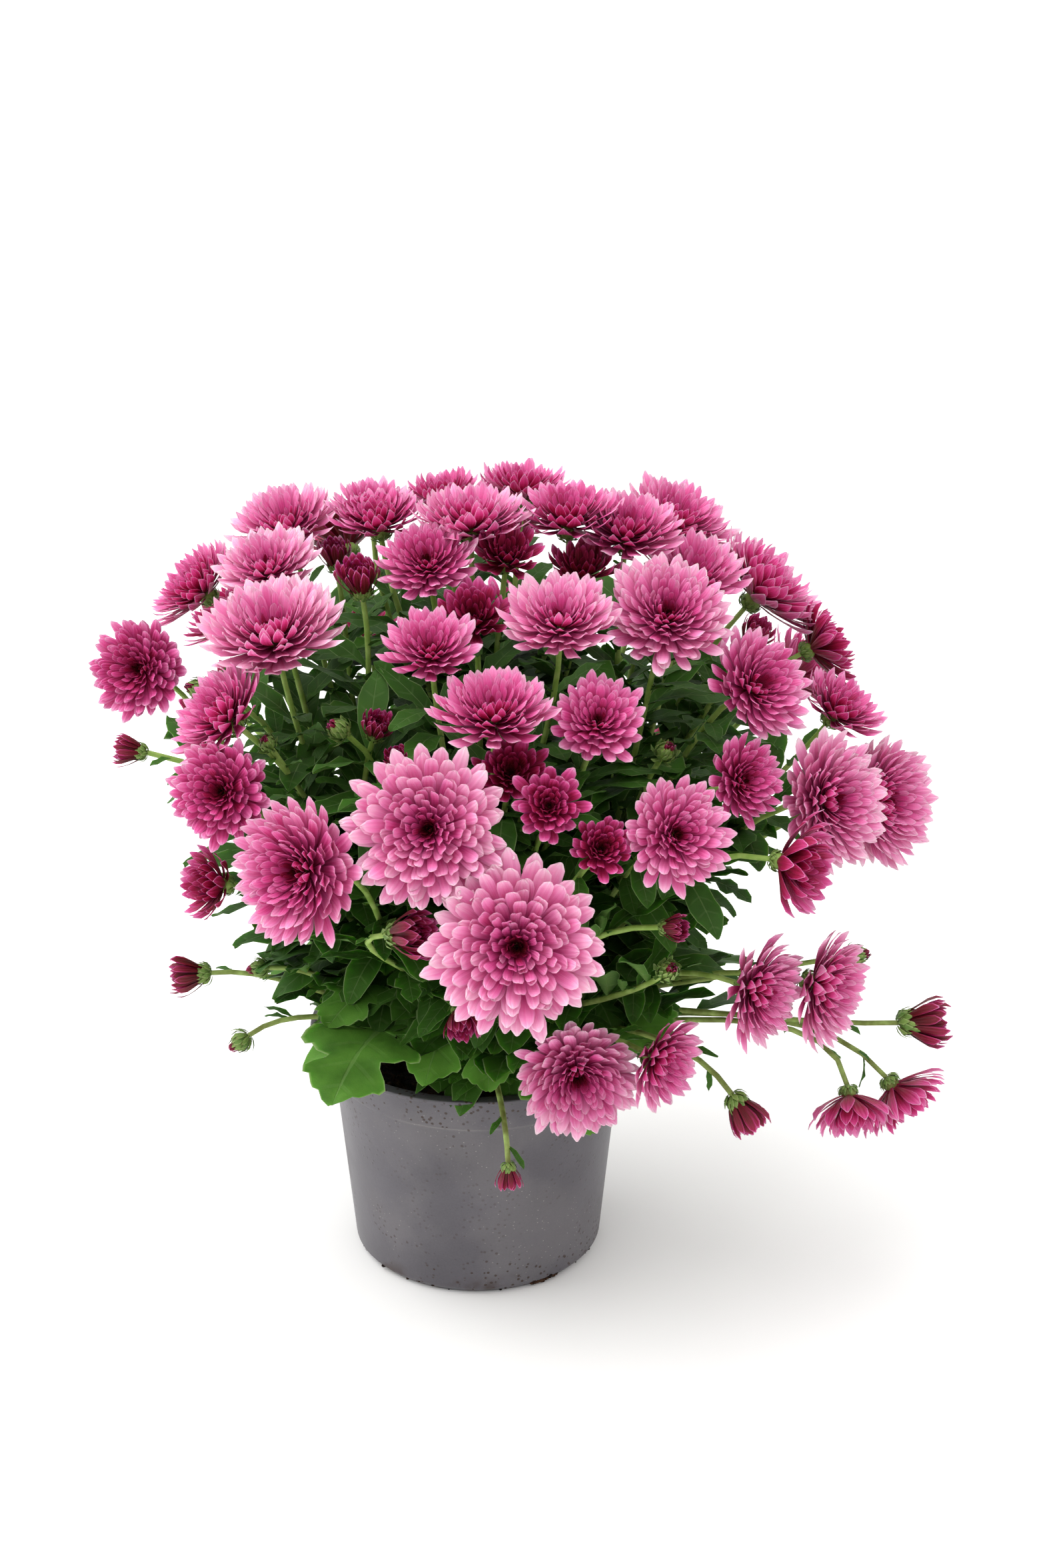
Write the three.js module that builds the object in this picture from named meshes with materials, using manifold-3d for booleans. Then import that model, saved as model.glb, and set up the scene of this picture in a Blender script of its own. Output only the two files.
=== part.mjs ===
// Pot chrysanthemum: a domed plant with layered pink blooms, standing in its thin growing pot.
// Millimetres, +Z up. The origin is on the floor under the middle of the pot and -Y is the front.
import * as THREE from 'three';
import { mergeVertices } from 'three/addons/utils/BufferGeometryUtils.js';
import Module from 'manifold-3d';

const wasm = await Module();
wasm.setup();

// ---- Driving dimensions ----

const GAP = 0.3; // air left between two pieces that touch
const SIDES = 22; // flat sides of the pot and of the soil in it

const POT = {
  footRadius: 46, // ring that stands on the floor
  bodyRadius: 48.9, // outside, just above the rounded foot
  bodyFoot: 3,
  shoulderRadius: 56, // outside, where the plain body ends
  shoulder: 77,
  step: 1.2, // height of the step up to the stacking band
  bandRadius: 57.4, // outside, at the foot of the band
  bandTopRadius: 60, // outside, just under the lip
  lipRadius: 65, // outside edge of the turned-out lip
  lipUnderside: 91.4,
  lipRise: 1, // how far its underside rises outwards
  height: 94,
  wall: 1.3,
  floor: 1.8,
  drainRing: 36, // radius of the ring of drain holes
  drainRadius: 2.5,
  drains: 6,
};

const SOIL = {
  level: 83, // height of the open soil
  rings: [46, 28], // radii at which its top has points
  lump: 1.2, // how far its lumps rise and fall
  moundAzimuth: -82, // side where roots and peat are heaped against the wall
  moundWidth: 30, // degrees
  moundHeight: 15,
  moundInner: 32, // the heap rises from this radius
  moundOuter: 54, // to this one
};

const DOME = {
  centre: new THREE.Vector3(3, 0, 150), // middle of the ball that the blooms lie on
  radius: 156,
};

const MAIN = {
  footRadius: 18, // distance of the main stems' feet from the middle
  topRadius: 42, // and of their upper ends
  foot: 64, // heights
  ground: 86,
  top: 152,
  centreTop: 196,
  flare: 1.3, // power by which they lean further out as they rise
  centreY: 1, // place of the one in the middle
  centreSway: 2, // and how far it sways back
  thickness: 3.1, // radius at the foot
  topThickness: 2,
  hole: 4.2, // radius of the plain hole that each one stands in
  sides: 6,
};

const STALK = {
  radius: 1.35, // at its root
  neck: 1.2, // just under the flower
  sides: 3,
  roots: [97, 149], // heights of the lowest and highest root on a main stem
  centreRoots: [150, 192], // and on the one in the middle
  leastClimb: 10, // degrees over the horizon at which the lowest ones set out
  climb: 16,
  climbShare: 0.75, // share of its flower's elevation that is added to the climb
  leave: 0.36, // shares of its span over which it swings away from the main stem
  arrive: 0.3, // and turns square to the flower
  straight: 1.02, // a length under this share of its span counts as straight
};

const BLADE = {
  thickness: 0.8,
  arch: 0.16, // rise of its edges over the rib, as a share of their distance from it
  edge: 0.95, // half width where it is narrowest
};

const SMALL_LEAF = {
  length: 28,
  longer: 12, // the most that a draw adds
  lowest: 0.4, // share of the stalk where it may grow
  spread: 0.3, // and how much further up
  lean: 0.9, // how far it leans along the stalk
  bend: 0.7, // radians
};

// Parts of a flower under its petals, as shares of the flower's radius.
const CALYX = { sides: 5, radius: 0.22 };
const TUFT = { cup: 0.5, cupHeight: 0.3, petals: 5, tip: 1.7, notch: 0.62, notchHeight: 1.25, apex: 1.35 };
const BUD = { low: 0.8, lowHeight: 0.4, high: 0.85, highHeight: 1.1, apex: 1.75 };

const COLOURS = {
  pot: '#6f6971',
  soil: '#2c2019',
  leaf: '#3f6b31',
  pale: '#dc9cc4', // full-blown blooms
  pink: '#cf6fa8',
  deep: '#a82e70', // blooms that have just opened
};

// ---- The plant's own plan ----

// Main stems and the azimuth that each leans to.
const MAINS = {
  front: 0,
  front_right: 60,
  back_right: 120,
  back: 180,
  back_left: -120,
  front_left: -60,
  centre: null,
};

// Number, azimuth and elevation on the dome, reach, diameter, facing azimuth and elevation, form
// and main stem of every open bloom.
const BLOOMS = [
  [1, -115, 59, 1.02, 40, -40, 70, 'full', 'back_left'],
  [2, -100, 75, 1, 33, 0, 86, 'mid', 'centre'],
  [3, -82, 76, 0.99, 33, -40, 80, 'mid', 'centre'],
  [4, -158, 75, 0.97, 33, -100, 84, 'mid', 'centre'],
  [5, -12, 84, 0.99, 42, 0, 88, 'full', 'centre'],
  [6, -27, 74, 0.96, 36, -10, 58, 'full', 'centre'],
  [7, 160, 73, 0.99, 34, 120, 84, 'mid', 'centre'],
  [8, 73, 78, 1, 38, -20, 82, 'mid', 'centre'],
  [9, 80, 70, 1, 36, 20, 75, 'full', 'front_right'],
  [10, 117, 59, 1.02, 39, 60, 66, 'full', 'back_right'],
  [11, 104, 46, 1.01, 43, 90, 48, 'full', 'back_right'],
  [12, 98, 36, 1.02, 34, 100, 22, 'mid', 'back_right'],
  [13, 20, 79, 0.93, 28, 10, 58, 'small', 'centre'],
  [14, -79, 60, 1, 38, -20, 66, 'full', 'front_left'],
  [15, -103, 46, 1.02, 36, -80, 45, 'full', 'back_left'],
  [16, -51, 54, 1, 52, -20, 71, 'large', 'front_left'],
  [19, -2, 67, 0.9, 30, -5, 52, 'small', 'front'],
  [20, 22, 61, 0.98, 42, 0, 66, 'full', 'front'],
  [21, 50, 57, 1, 46, 10, 52, 'large', 'front_right'],
  [22, 85, 59, 0.97, 37, 30, 66, 'mid', 'front_right'],
  [23, 62, 73, 0.9, 25, 0, 70, 'small', 'centre'],
  [24, 58, 43, 1, 40, 40, 35, 'full', 'front_right'],
  [25, 81, 32, 1, 33, 70, 55, 'mid', 'front_right'],
  [27, -12, 58, 0.95, 34, -5, 64, 'mid', 'front'],
  [28, 3, 48, 0.97, 42, 0, 75, 'full', 'front'],
  [29, 23, 46, 0.95, 34, 5, 46, 'mid', 'front'],
  [30, -91, 35, 1, 38, -15, 22, 'full', 'front_left'],
  [31, -49, 41, 1, 41, -65, 42, 'full', 'front_left'],
  [32, -41, 32, 1, 37, -15, 25, 'full', 'front_left'],
  [33, -7, 32, 1, 54, -5, 25, 'large', 'front'],
  [34, 5, 18, 1.01, 58, 0, 22, 'large', 'front'],
  [35, -25, 25, 1, 49, -33, 18, 'large', 'front_left'],
  [36, -52, 17, 0.8, 30, -60, 15, 'small', 'front_left'],
  [37, 6, 41, 0.9, 27, 5, 40, 'small', 'front'],
  [38, 11, 35, 0.97, 27, 0, 30, 'small', 'front'],
  [39, 18, 29, 0.97, 23, 10, 35, 'small', 'front'],
  [40, 29, 29, 1, 39, 20, 28, 'full', 'front_right'],
  [41, 47, 33, 0.95, 31, 35, 25, 'mid', 'front_right'],
  [42, 61, 25, 1, 48, 40, 20, 'large', 'front_right'],
  [43, 82, 17, 1.01, 50, 46, 15, 'large', 'front_right'],
  [44, 47, 21, 1, 30, 60, 0, 'small', 'front_right'],
  [45, 46, 2, 0.88, 41, 48, 0, 'full', 'front_right'],
  [46, 58, -1, 0.94, 44, 56, 0, 'full', 'front_right'],
  [47, 19, -14, 0.7, 45, 8, 2, 'large', 'front'],
  [48, 33, -10, 0.77, 36, 48, -8, 'mid', 'front'],
  [49, 68, -23, 1.03, 30, 10, -50, 'small', 'front_right'],
  [50, 75, -22, 1.13, 36, 60, -45, 'mid', 'front_right'],
  [60, 140, 43, 1, 40, 125, 48, 'mid', 'back_right'],
  [61, 174, 50, 1, 42, 170, 52, 'full', 'back'],
  [62, -148, 47, 1, 40, -150, 48, 'small', 'back_left'],
  [63, -122, 37, 0.96, 38, -115, 40, 'mid', 'back_left'],
  [64, 117, 25, 1, 40, 112, 28, 'mid', 'back_right'],
  [65, 146, 21, 1, 44, 145, 24, 'mid', 'back_right'],
  [66, 176, 24, 1, 40, 176, 28, 'mid', 'back'],
  [67, -157, 22, 1, 43, -160, 24, 'mid', 'back'],
  [68, -130, 17, 0.92, 40, -130, 20, 'small', 'back_left'],
  [69, 118, 4, 0.98, 35, 115, 10, 'small', 'back_right'],
  [70, 150, 0, 0.95, 38, 150, 5, 'small', 'back'],
];

// Blooms whose petals run into each other, and so are one body.
const CLUSTERS = [
  [2, 3],
  [5, 6, 13],
  [8, 9],
  [16, 31, 32],
  [33, 34],
  [39, 40],
  [49, 50],
];

// Flowers that are still shut or half open, as [azimuth, elevation, reach, width, facing azimuth
// and elevation, kind, main stem]. They grow out of their stem's own green body.
const BUDS = [
  [-50, 68, 0.95, 17, -30, 75, 'tuft', 'front_left'],
  [-122, 62, 0.9, 15, -40, 80, 'tuft', 'back_left'],
  [77, -12, 1.12, 21, 85, 5, 'tuft', 'front_right'],
  [-12, 17, 0.75, 19, 60, 15, 'tuft', 'front'],
  [-4, -5, 0.6, 14, 10, -35, 'tuft', 'front'],
  [-80, -13, 0.75, 17, -85, -5, 'tuft', 'front_left'],
  [-73, 29, 0.97, 13, -85, 10, 'tuft', 'front_left'],
  [48, -21, 0.88, 17, 60, -50, 'tuft', 'front_right'],
  [31, 16, 0.86, 11, 60, 10, 'tuft', 'front'],
  [90, 46, 0.93, 14, 60, 60, 'tuft', 'back_right'],
  [-26, 50, 0.8, 13, 30, 60, 'tuft', 'front_left'],
  [-16, 43, 0.88, 9, 0, 45, 'tuft', 'front_left'],
  [6, -36, 0.76, 11, 10, -75, 'tuft', 'front'],
  [-64, -8, 0.6, 8, -80, 0, 'bud', 'front_left'],
  [-72, -27, 0.7, 9, -75, -35, 'bud', 'front_left'],
  [-76, 41, 0.9, 9, -70, 20, 'bud', 'front_left'],
  [74, -3, 0.93, 9, 90, 10, 'bud', 'front_right'],
  [31, 9, 0.82, 9, 20, 40, 'bud', 'front'],
  [43, 42, 0.82, 9, 30, 50, 'bud', 'front_right'],
  [-33, 47, 0.84, 9, -60, 40, 'bud', 'front_left'],
  [-45, 41, 0.88, 7, -30, 50, 'bud', 'front_left'],
];

// Larger leaves, as [main stem, height of the root, azimuth and elevation, petiole, blade, bend
// in radians, outline, and for some the roll in degrees by which the blade turns to the light].
const LEAVES = [
  ['front', 130, -62, -17, 38, 54, 0.9, 'lobed', 58],
  ['front', 106, -20, 28, 24, 46, 1.3, 'lobed'],
  ['front', 92, 33, 20, 30, 50, 1.3, 'lobed'],
  ['front', 103, 4, 26, 20, 40, 1.3, 'lobed'],
  ['front', 122, -16, 40, 20, 46, 0.8, 'lobed'],
  ['front', 125, 24, 44, 22, 44, 0.8, 'oblong'],
  ['front_left', 95, -66, 12, 26, 34, 1.1, 'oblong'],
  ['front_left', 114, -94, 22, 22, 46, 0.9, 'lobed'],
  ['front_left', 120, -30, 22, 20, 46, 0.8, 'lobed'],
  ['front_left', 141, -60, 28, 18, 46, 0.6, 'oblong'],
  ['front_right', 104, 50, 18, 30, 50, 1.2, 'lobed'],
  ['front_right', 111, 76, 28, 34, 54, 0.7, 'lobed'],
  ['front_right', 122, 42, 38, 20, 46, 0.8, 'lobed'],
  ['front_right', 137, 56, 43, 18, 46, 0.6, 'oblong'],
  ['back_right', 102, 104, 18, 28, 52, 1.1, 'lobed'],
  ['back_right', 116, 136, 25, 24, 50, 0.8, 'oblong'],
  ['back_right', 141, 106, 44, 16, 46, 0.6, 'oblong'],
  ['back', 102, 172, 18, 28, 52, 1.1, 'lobed'],
  ['back', 116, -166, 35, 22, 50, 0.8, 'oblong'],
  ['back', 140, -178, 46, 16, 46, 0.6, 'oblong'],
  ['back_left', 102, -126, 18, 28, 52, 1.1, 'lobed'],
  ['back_left', 111, -104, 30, 20, 48, 0.8, 'oblong'],
  ['back_left', 138, -140, 42, 23, 46, 0.6, 'oblong'],
  ['centre', 178, 20, 46, 12, 40, 0.6, 'oblong'],
  ['centre', 179, 134, 46, 12, 40, 0.6, 'oblong'],
  ['centre', 180, -80, 50, 12, 40, 0.6, 'oblong'],
];

// Blooms with a small leaf on their stalk, and those of them where the second draw turns it clear
// of everything else.
const LEAFY = [1, 5, 7, 9, 10, 11, 14, 15, 16, 20, 21, 24, 25, 27, 28, 29, 30, 32, 35, 40, 41, 42,
  44, 46, 47, 50, 60, 61, 62, 64, 65, 66, 67, 68, 70];
const SECOND_DRAW = [1, 5, 11, 15, 21, 28, 47, 66];

// ---- Small tools ----

const UP = new THREE.Vector3(0, 0, 1);

const vec = (x, y, z) => new THREE.Vector3(x, y, z);

// An even-looking number from 0 to 1 that is always the same for the same two whole numbers.
function draw(i, k) {
  const s = Math.sin(i * 12.9898 + k * 78.233) * 43758.5453;
  return s - Math.floor(s);
}

const sway = (i, k) => 2 * draw(i, k) - 1;

// Unit vector: azimuth in degrees from the front towards +X, elevation in degrees over the horizon.
function direction(azimuth, elevation) {
  const a = THREE.MathUtils.degToRad(azimuth);
  const e = THREE.MathUtils.degToRad(elevation);
  return vec(Math.sin(a) * Math.cos(e), -Math.cos(a) * Math.cos(e), Math.sin(e));
}

// Point on the dome; reach is 1 on its surface and less inside.
function onDome(azimuth, elevation, reach) {
  return direction(azimuth, elevation).multiplyScalar(DOME.radius * reach).add(DOME.centre);
}

// A geometry with its doubled points merged and its collapsed faces dropped.
function closed(geometry) {
  const bare = geometry.clone();
  bare.deleteAttribute('normal');
  bare.deleteAttribute('uv');
  const merged = mergeVertices(bare, 1e-4);
  const index = [...merged.index.array];
  const kept = [];
  for (let i = 0; i < index.length; i += 3) {
    const [a, b, c] = index.slice(i, i + 3);
    if (a !== b && b !== c && c !== a) kept.push(a, b, c);
  }
  merged.setIndex(kept);
  return merged;
}

function solidOf(geometry) {
  return new wasm.Manifold(
    new wasm.Mesh({
      numProp: 3,
      vertProperties: new Float32Array(geometry.getAttribute('position').array),
      triVerts: new Uint32Array(geometry.index.array),
    }),
  );
}

function geometryOf(solid) {
  const mesh = solid.getMesh();
  const geometry = new THREE.BufferGeometry();
  geometry.setAttribute('position', new THREE.BufferAttribute(new Float32Array(mesh.vertProperties), 3));
  geometry.setIndex(new THREE.BufferAttribute(new Uint32Array(mesh.triVerts), 1));
  return geometry;
}

const fuse = (solids) => solids.reduce((all, one) => all.add(one));

// A closed skin built ring by ring. Every ring runs the same way round and lists its points with
// their turn, a number from 0 to 1, so that rings with different counts can be joined.
class Skin {
  constructor() {
    this.points = [];
    this.faces = [];
  }

  ring(points, turns) {
    const first = this.points.length;
    this.points.push(...points);
    return { first, turns: turns ?? points.map((_, i) => i / points.length) };
  }

  join(low, high) {
    const n = low.turns.length;
    const m = high.turns.length;
    const turn = (ring, i) => ring.turns[i % ring.turns.length] + Math.floor(i / ring.turns.length);
    let i = 0;
    let j = 0;
    while (i < n || j < m) {
      const a = low.first + (i % n);
      const b = high.first + (j % m);
      if (j >= m || (i < n && turn(low, i + 1) <= turn(high, j + 1))) {
        i += 1;
        this.faces.push(a, low.first + (i % n), b);
      } else {
        j += 1;
        this.faces.push(a, high.first + (j % m), b);
      }
    }
    return high;
  }

  bottom(ring) {
    for (let i = 1; i < ring.turns.length - 1; i += 1) {
      this.faces.push(ring.first, ring.first + i + 1, ring.first + i);
    }
  }

  top(ring, apex) {
    const n = ring.turns.length;
    if (!apex) {
      for (let i = 1; i < n - 1; i += 1) {
        this.faces.push(ring.first, ring.first + i, ring.first + i + 1);
      }
      return;
    }
    const tip = this.points.push(apex) - 1;
    for (let i = 0; i < n; i += 1) {
      this.faces.push(ring.first + i, ring.first + ((i + 1) % n), tip);
    }
  }

  geometry() {
    const geometry = new THREE.BufferGeometry().setFromPoints(this.points);
    geometry.setIndex(this.faces);
    return geometry;
  }

  solid() {
    return solidOf(this.geometry());
  }
}

function circle(sides, radius, z) {
  return Array.from({ length: sides }, (_, i) => {
    const a = (2 * Math.PI * i) / sides;
    return vec(radius * Math.cos(a), radius * Math.sin(a), z);
  });
}

// ---- Pot and soil ----

// Radius of the pot's inner face at a height over its floor.
function innerRadius(z) {
  const outer =
    z < POT.shoulder
      ? THREE.MathUtils.mapLinear(z, POT.bodyFoot, POT.shoulder, POT.bodyRadius, POT.shoulderRadius)
      : THREE.MathUtils.mapLinear(z, POT.shoulder, POT.lipUnderside, POT.bandRadius, POT.bandTopRadius);
  return outer - POT.wall;
}

// Both are turned on a lathe, whose axis is then stood up from +Y to +Z.
function turned(profile) {
  const points = profile.map(([r, z]) => new THREE.Vector2(r, z));
  return new THREE.LatheGeometry(points, SIDES).rotateX(Math.PI / 2);
}

function makePot() {
  const body = turned([
    [0, 0],
    [POT.footRadius, 0],
    [POT.bodyRadius, POT.bodyFoot],
    [POT.shoulderRadius, POT.shoulder],
    [POT.bandRadius, POT.shoulder + POT.step],
    [POT.bandTopRadius, POT.lipUnderside],
    [POT.lipRadius, POT.lipUnderside + POT.lipRise],
    [POT.lipRadius, POT.height],
    [POT.bandTopRadius + 0.4, POT.height],
    [innerRadius(POT.lipUnderside), POT.lipUnderside],
    [innerRadius(POT.shoulder + 2), POT.shoulder + 2],
    [innerRadius(POT.shoulder - 1), POT.shoulder - 1],
    [innerRadius(POT.bodyFoot + 1), POT.bodyFoot + 1],
    [POT.footRadius - 1, POT.floor],
    [0, POT.floor],
  ]);
  const drains = Array.from({ length: POT.drains }, (_, i) => {
    const a = (2 * Math.PI * (i + 0.5)) / POT.drains;
    return new THREE.CylinderGeometry(POT.drainRadius, POT.drainRadius, 8, 6)
      .rotateX(Math.PI / 2)
      .translate(POT.drainRing * Math.cos(a), POT.drainRing * Math.sin(a), 0);
  });
  const drilled = solidOf(closed(body)).subtract(fuse(drains.map((drain) => solidOf(closed(drain)))));
  return geometryOf(drilled);
}

// Rise of the soil over its level: small lumps all over and the heap against the wall.
function soilRise(x, y) {
  const azimuth = THREE.MathUtils.radToDeg(Math.atan2(x, -y));
  const aside = (azimuth - SOIL.moundAzimuth) / SOIL.moundWidth;
  const outward = THREE.MathUtils.smoothstep(Math.hypot(x, y), SOIL.moundInner, SOIL.moundOuter);
  const lumps = Math.sin(x * 0.47 + 1.3) * Math.cos(y * 0.39) + 0.6 * Math.sin(x * 0.21 - y * 0.33);
  return SOIL.lump * lumps + SOIL.moundHeight * Math.exp(-aside * aside) * outward;
}

function makeSoil() {
  const side = (z) => [innerRadius(z) - GAP, z];
  const body = turned([
    [0, POT.floor + GAP],
    [POT.footRadius - 1.6, POT.floor + GAP],
    side(POT.bodyFoot + 2),
    side(POT.shoulder - 1.2),
    side(SOIL.level),
    ...SOIL.rings.map((radius) => [radius, SOIL.level]),
    [0, SOIL.level],
  ]);
  const place = body.getAttribute('position');
  for (let i = 0; i < place.count; i += 1) {
    if (place.getZ(i) > SOIL.level - 0.1) {
      place.setZ(i, SOIL.level + soilRise(place.getX(i), place.getY(i)));
    }
  }
  const tall = POT.height; // reaches well out of the soil
  const holes = Object.keys(MAINS).map((name) => {
    const foot = mainPoint(name, MAIN.foot);
    return new THREE.CylinderGeometry(MAIN.hole, MAIN.hole, tall, MAIN.sides)
      .rotateX(Math.PI / 2)
      .translate(foot.x, foot.y, MAIN.foot - GAP + tall / 2);
  });
  return geometryOf(solidOf(closed(body)).subtract(fuse(holes.map((hole) => solidOf(closed(hole))))));
}

// ---- Stems ----

// Middle of a main stem at a height: upright in the soil, leaning out over it.
function mainPoint(name, z) {
  const climb = Math.max(0, z - MAIN.ground) / (MAIN.top - MAIN.ground);
  const { x } = DOME.centre;
  if (MAINS[name] === null) return vec(x, MAIN.centreY + MAIN.centreSway * Math.sin(climb * 2), z);
  const radius = MAIN.footRadius + (MAIN.topRadius - MAIN.footRadius) * climb ** MAIN.flare;
  return direction(MAINS[name], 0).multiplyScalar(radius).add(vec(x, 0, z));
}

// Rings of a tapering tube along a curve, square to it, with the frame at its end.
function tube(skin, curve, sides, radii) {
  const steps = radii.length - 1;
  const { tangents, normals, binormals } = curve.computeFrenetFrames(steps, false);
  const rings = radii.map((radius, i) => {
    const middle = curve.getPointAt(i / steps);
    const around = circle(sides, radius, 0).map((p) =>
      middle.clone().addScaledVector(normals[i], p.x).addScaledVector(binormals[i], p.y),
    );
    return skin.ring(around);
  });
  skin.bottom(rings[0]);
  rings.slice(1).forEach((ring, i) => skin.join(rings[i], ring));
  const frame = new THREE.Matrix4().makeBasis(normals[steps], binormals[steps], tangents[steps]);
  frame.setPosition(curve.getPointAt(1));
  return { last: rings[steps], frame };
}

// A nearly straight stalk needs fewer rings than a curved one.
function tubeRadii(curve) {
  const straight = curve.getLength() < STALK.straight * curve.v0.distanceTo(curve.v3);
  const even = new Array(straight ? 2 : 3).fill(STALK.radius);
  return [...even, STALK.neck];
}

function makeMain(name) {
  const top = MAINS[name] === null ? MAIN.centreTop : MAIN.top;
  const heights = [MAIN.foot, MAIN.ground, (MAIN.ground + top) / 2, top];
  const skin = new Skin();
  const rings = heights.map((z) => {
    const share = (z - MAIN.foot) / (top - MAIN.foot);
    const radius = THREE.MathUtils.lerp(MAIN.thickness, MAIN.topThickness, share);
    return skin.ring(circle(MAIN.sides, radius, 0).map((p) => p.add(mainPoint(name, z))));
  });
  skin.bottom(rings[0]);
  rings.slice(1).forEach((ring, i) => skin.join(rings[i], ring));
  skin.top(rings[rings.length - 1]);
  return skin.solid();
}

// Every stalk leaves its main stem at a height of its own, the lowest flower from the lowest.
function rootHeight(stem, elevation) {
  const all = [...BLOOMS.filter((row) => row[8] === stem).map((row) => row[2])];
  all.push(...BUDS.filter((row) => row[7] === stem).map((row) => row[1]));
  const rank = all.filter((other) => other < elevation).length / Math.max(1, all.length - 1);
  const [low, high] = MAINS[stem] === null ? STALK.centreRoots : STALK.roots;
  return low + (high - low) * rank;
}

// Curve of a stalk, from inside its main stem to the underside of its flower, which it meets
// square on.
function stalkCurve(stem, azimuth, elevation, end, facing) {
  const root = mainPoint(stem, rootHeight(stem, elevation));
  const span = root.distanceTo(end);
  const climb = Math.max(STALK.leastClimb, STALK.climb + elevation * STALK.climbShare);
  const away = direction(azimuth, climb);
  return new THREE.CubicBezierCurve3(
    root,
    root.clone().addScaledVector(away, span * STALK.leave),
    end.clone().addScaledVector(facing, -span * STALK.arrive),
    end,
  );
}

// ---- Blooms ----

// Corners of one petal between its notches: share of the petal's width, share of its reach.
const PETALS = {
  sharp: [[0.5, 1]],
  blunt: [
    [0.26, 0.96],
    [0.74, 0.96],
  ],
};

// Whorls from the outermost in, all lengths as shares of the bloom's radius: petals, their cut,
// reach and height of the tips, reach and height of the notches, then the ring that the next
// whorl rises from, as sides, radius and height.
const FORMS = {
  large: [
    [14, 'blunt', 1, 0.2, 0.72, 0.15, 8, 0.56, 0.28],
    [12, 'sharp', 0.85, 0.44, 0.6, 0.37, 6, 0.36, 0.5],
    [7, 'sharp', 0.56, 0.64, 0.36, 0.56],
  ],
  full: [
    [12, 'blunt', 1, 0.22, 0.7, 0.17, 7, 0.52, 0.3],
    [9, 'sharp', 0.84, 0.46, 0.58, 0.38, 5, 0.34, 0.5],
    [6, 'sharp', 0.54, 0.66, 0.34, 0.57],
  ],
  mid: [
    [11, 'blunt', 1, 0.26, 0.66, 0.19, 6, 0.48, 0.32],
    [8, 'sharp', 0.78, 0.5, 0.5, 0.41, 4, 0.28, 0.52],
    [5, 'sharp', 0.46, 0.68, 0.28, 0.58],
  ],
  small: [
    [10, 'blunt', 1, 0.28, 0.62, 0.2, 6, 0.42, 0.33],
    [7, 'sharp', 0.72, 0.54, 0.42, 0.44],
  ],
};

const SEAT = { sides: 5, radius: 0.13, depth: 0.3 }; // the flat that sits on the calyx
const EYE = 0.46; // height of the hollow in the middle of a bloom
const UNEVEN = { reach: 0.05, height: 0.035 }; // how far petals differ from their whorl

function makeBloom(form, radius, seed) {
  const skin = new Skin();
  let last = skin.ring(circle(SEAT.sides, SEAT.radius * radius, 0));
  skin.bottom(last);
  FORMS[form].forEach(([petals, cut, tip, tipHeight, notch, notchHeight, sides, rise, riseHeight], w) => {
    const points = [];
    const turns = [];
    const add = (turn, reach, height) => {
      const a = 2 * Math.PI * turn;
      turns.push(turn);
      points.push(vec(Math.cos(a) * reach, Math.sin(a) * reach, height).multiplyScalar(radius));
    };
    for (let i = 0; i < petals; i += 1) {
      const longer = 1 + UNEVEN.reach * sway(seed, 20 * w + i);
      const lift = UNEVEN.height * sway(seed, 20 * w + i + 90);
      add(i / petals, notch, notchHeight);
      PETALS[cut].forEach(([along, reach]) => {
        add((i + along) / petals, tip * reach * longer, tipHeight + lift);
      });
    }
    last = skin.join(last, skin.ring(points, turns));
    if (sides) last = skin.join(last, skin.ring(circle(sides, rise * radius, riseHeight * radius)));
  });
  skin.top(last, vec(0, 0, EYE * radius));
  return skin.geometry();
}

// ---- Leaves ----

// Half outlines as [share along the blade, share of its length to the side], from the petiole to
// the point, and the ribs that they are split along. In faces, L and R are the two edges, M the
// rib and T the point.
const OUTLINES = {
  lobed: {
    edge: [[0, 0.02], [0.17, 0.25], [0.31, 0.13], [0.5, 0.37], [0.62, 0.16], [0.81, 0.25]],
    rib: [0.28, 0.6],
    faces: ['L0 M0 R0', 'L0 L1 M0', 'L1 L2 M0', 'L2 M1 M0', 'L2 L3 M1', 'L3 L4 M1', 'L4 L5 T', 'L4 T M1',
      'R0 M0 R1', 'R1 M0 R2', 'R2 M0 M1', 'R2 M1 R3', 'R3 M1 R4', 'R4 T R5', 'R4 M1 T'],
  },
  oblong: {
    edge: [[0, 0.03], [0.36, 0.17], [0.72, 0.15]],
    rib: [],
    faces: ['L0 L1 R0', 'L1 R1 R0', 'L1 L2 R1', 'L2 R2 R1', 'L2 T R2'],
  },
  narrow: {
    edge: [[0, 0.03], [0.5, 0.17]],
    rib: [],
    faces: ['L0 L1 R0', 'L1 R1 R0', 'L1 T R1'],
  },
};

// Places the points of a blade that is rolled about its petiole and bends down by so many radians
// between the petiole and its point. Share and aside are the way along it and to its left, as
// shares of its length.
function bladeFrame(root, along, petiole, length, bend, roll) {
  const turn = -THREE.MathUtils.degToRad(roll);
  const side = new THREE.Vector3().crossVectors(UP, along).normalize().applyAxisAngle(along, turn);
  const over = new THREE.Vector3().crossVectors(along, side);
  const base = root.clone().addScaledVector(along, petiole);
  return (share, aside) => {
    const angle = bend * Math.max(share, 0);
    const forward = share < 0 ? share : Math.sin(angle) / bend;
    const drop = (1 - Math.cos(angle)) / bend;
    const lift = over.clone().multiplyScalar(Math.cos(angle)).addScaledVector(along, Math.sin(angle));
    const point = base.clone().addScaledVector(along, forward * length);
    point.addScaledVector(over, -drop * length).addScaledVector(side, aside * length);
    point.addScaledVector(lift, BLADE.arch * length * Math.abs(aside));
    return { point, lift };
  };
}

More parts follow.
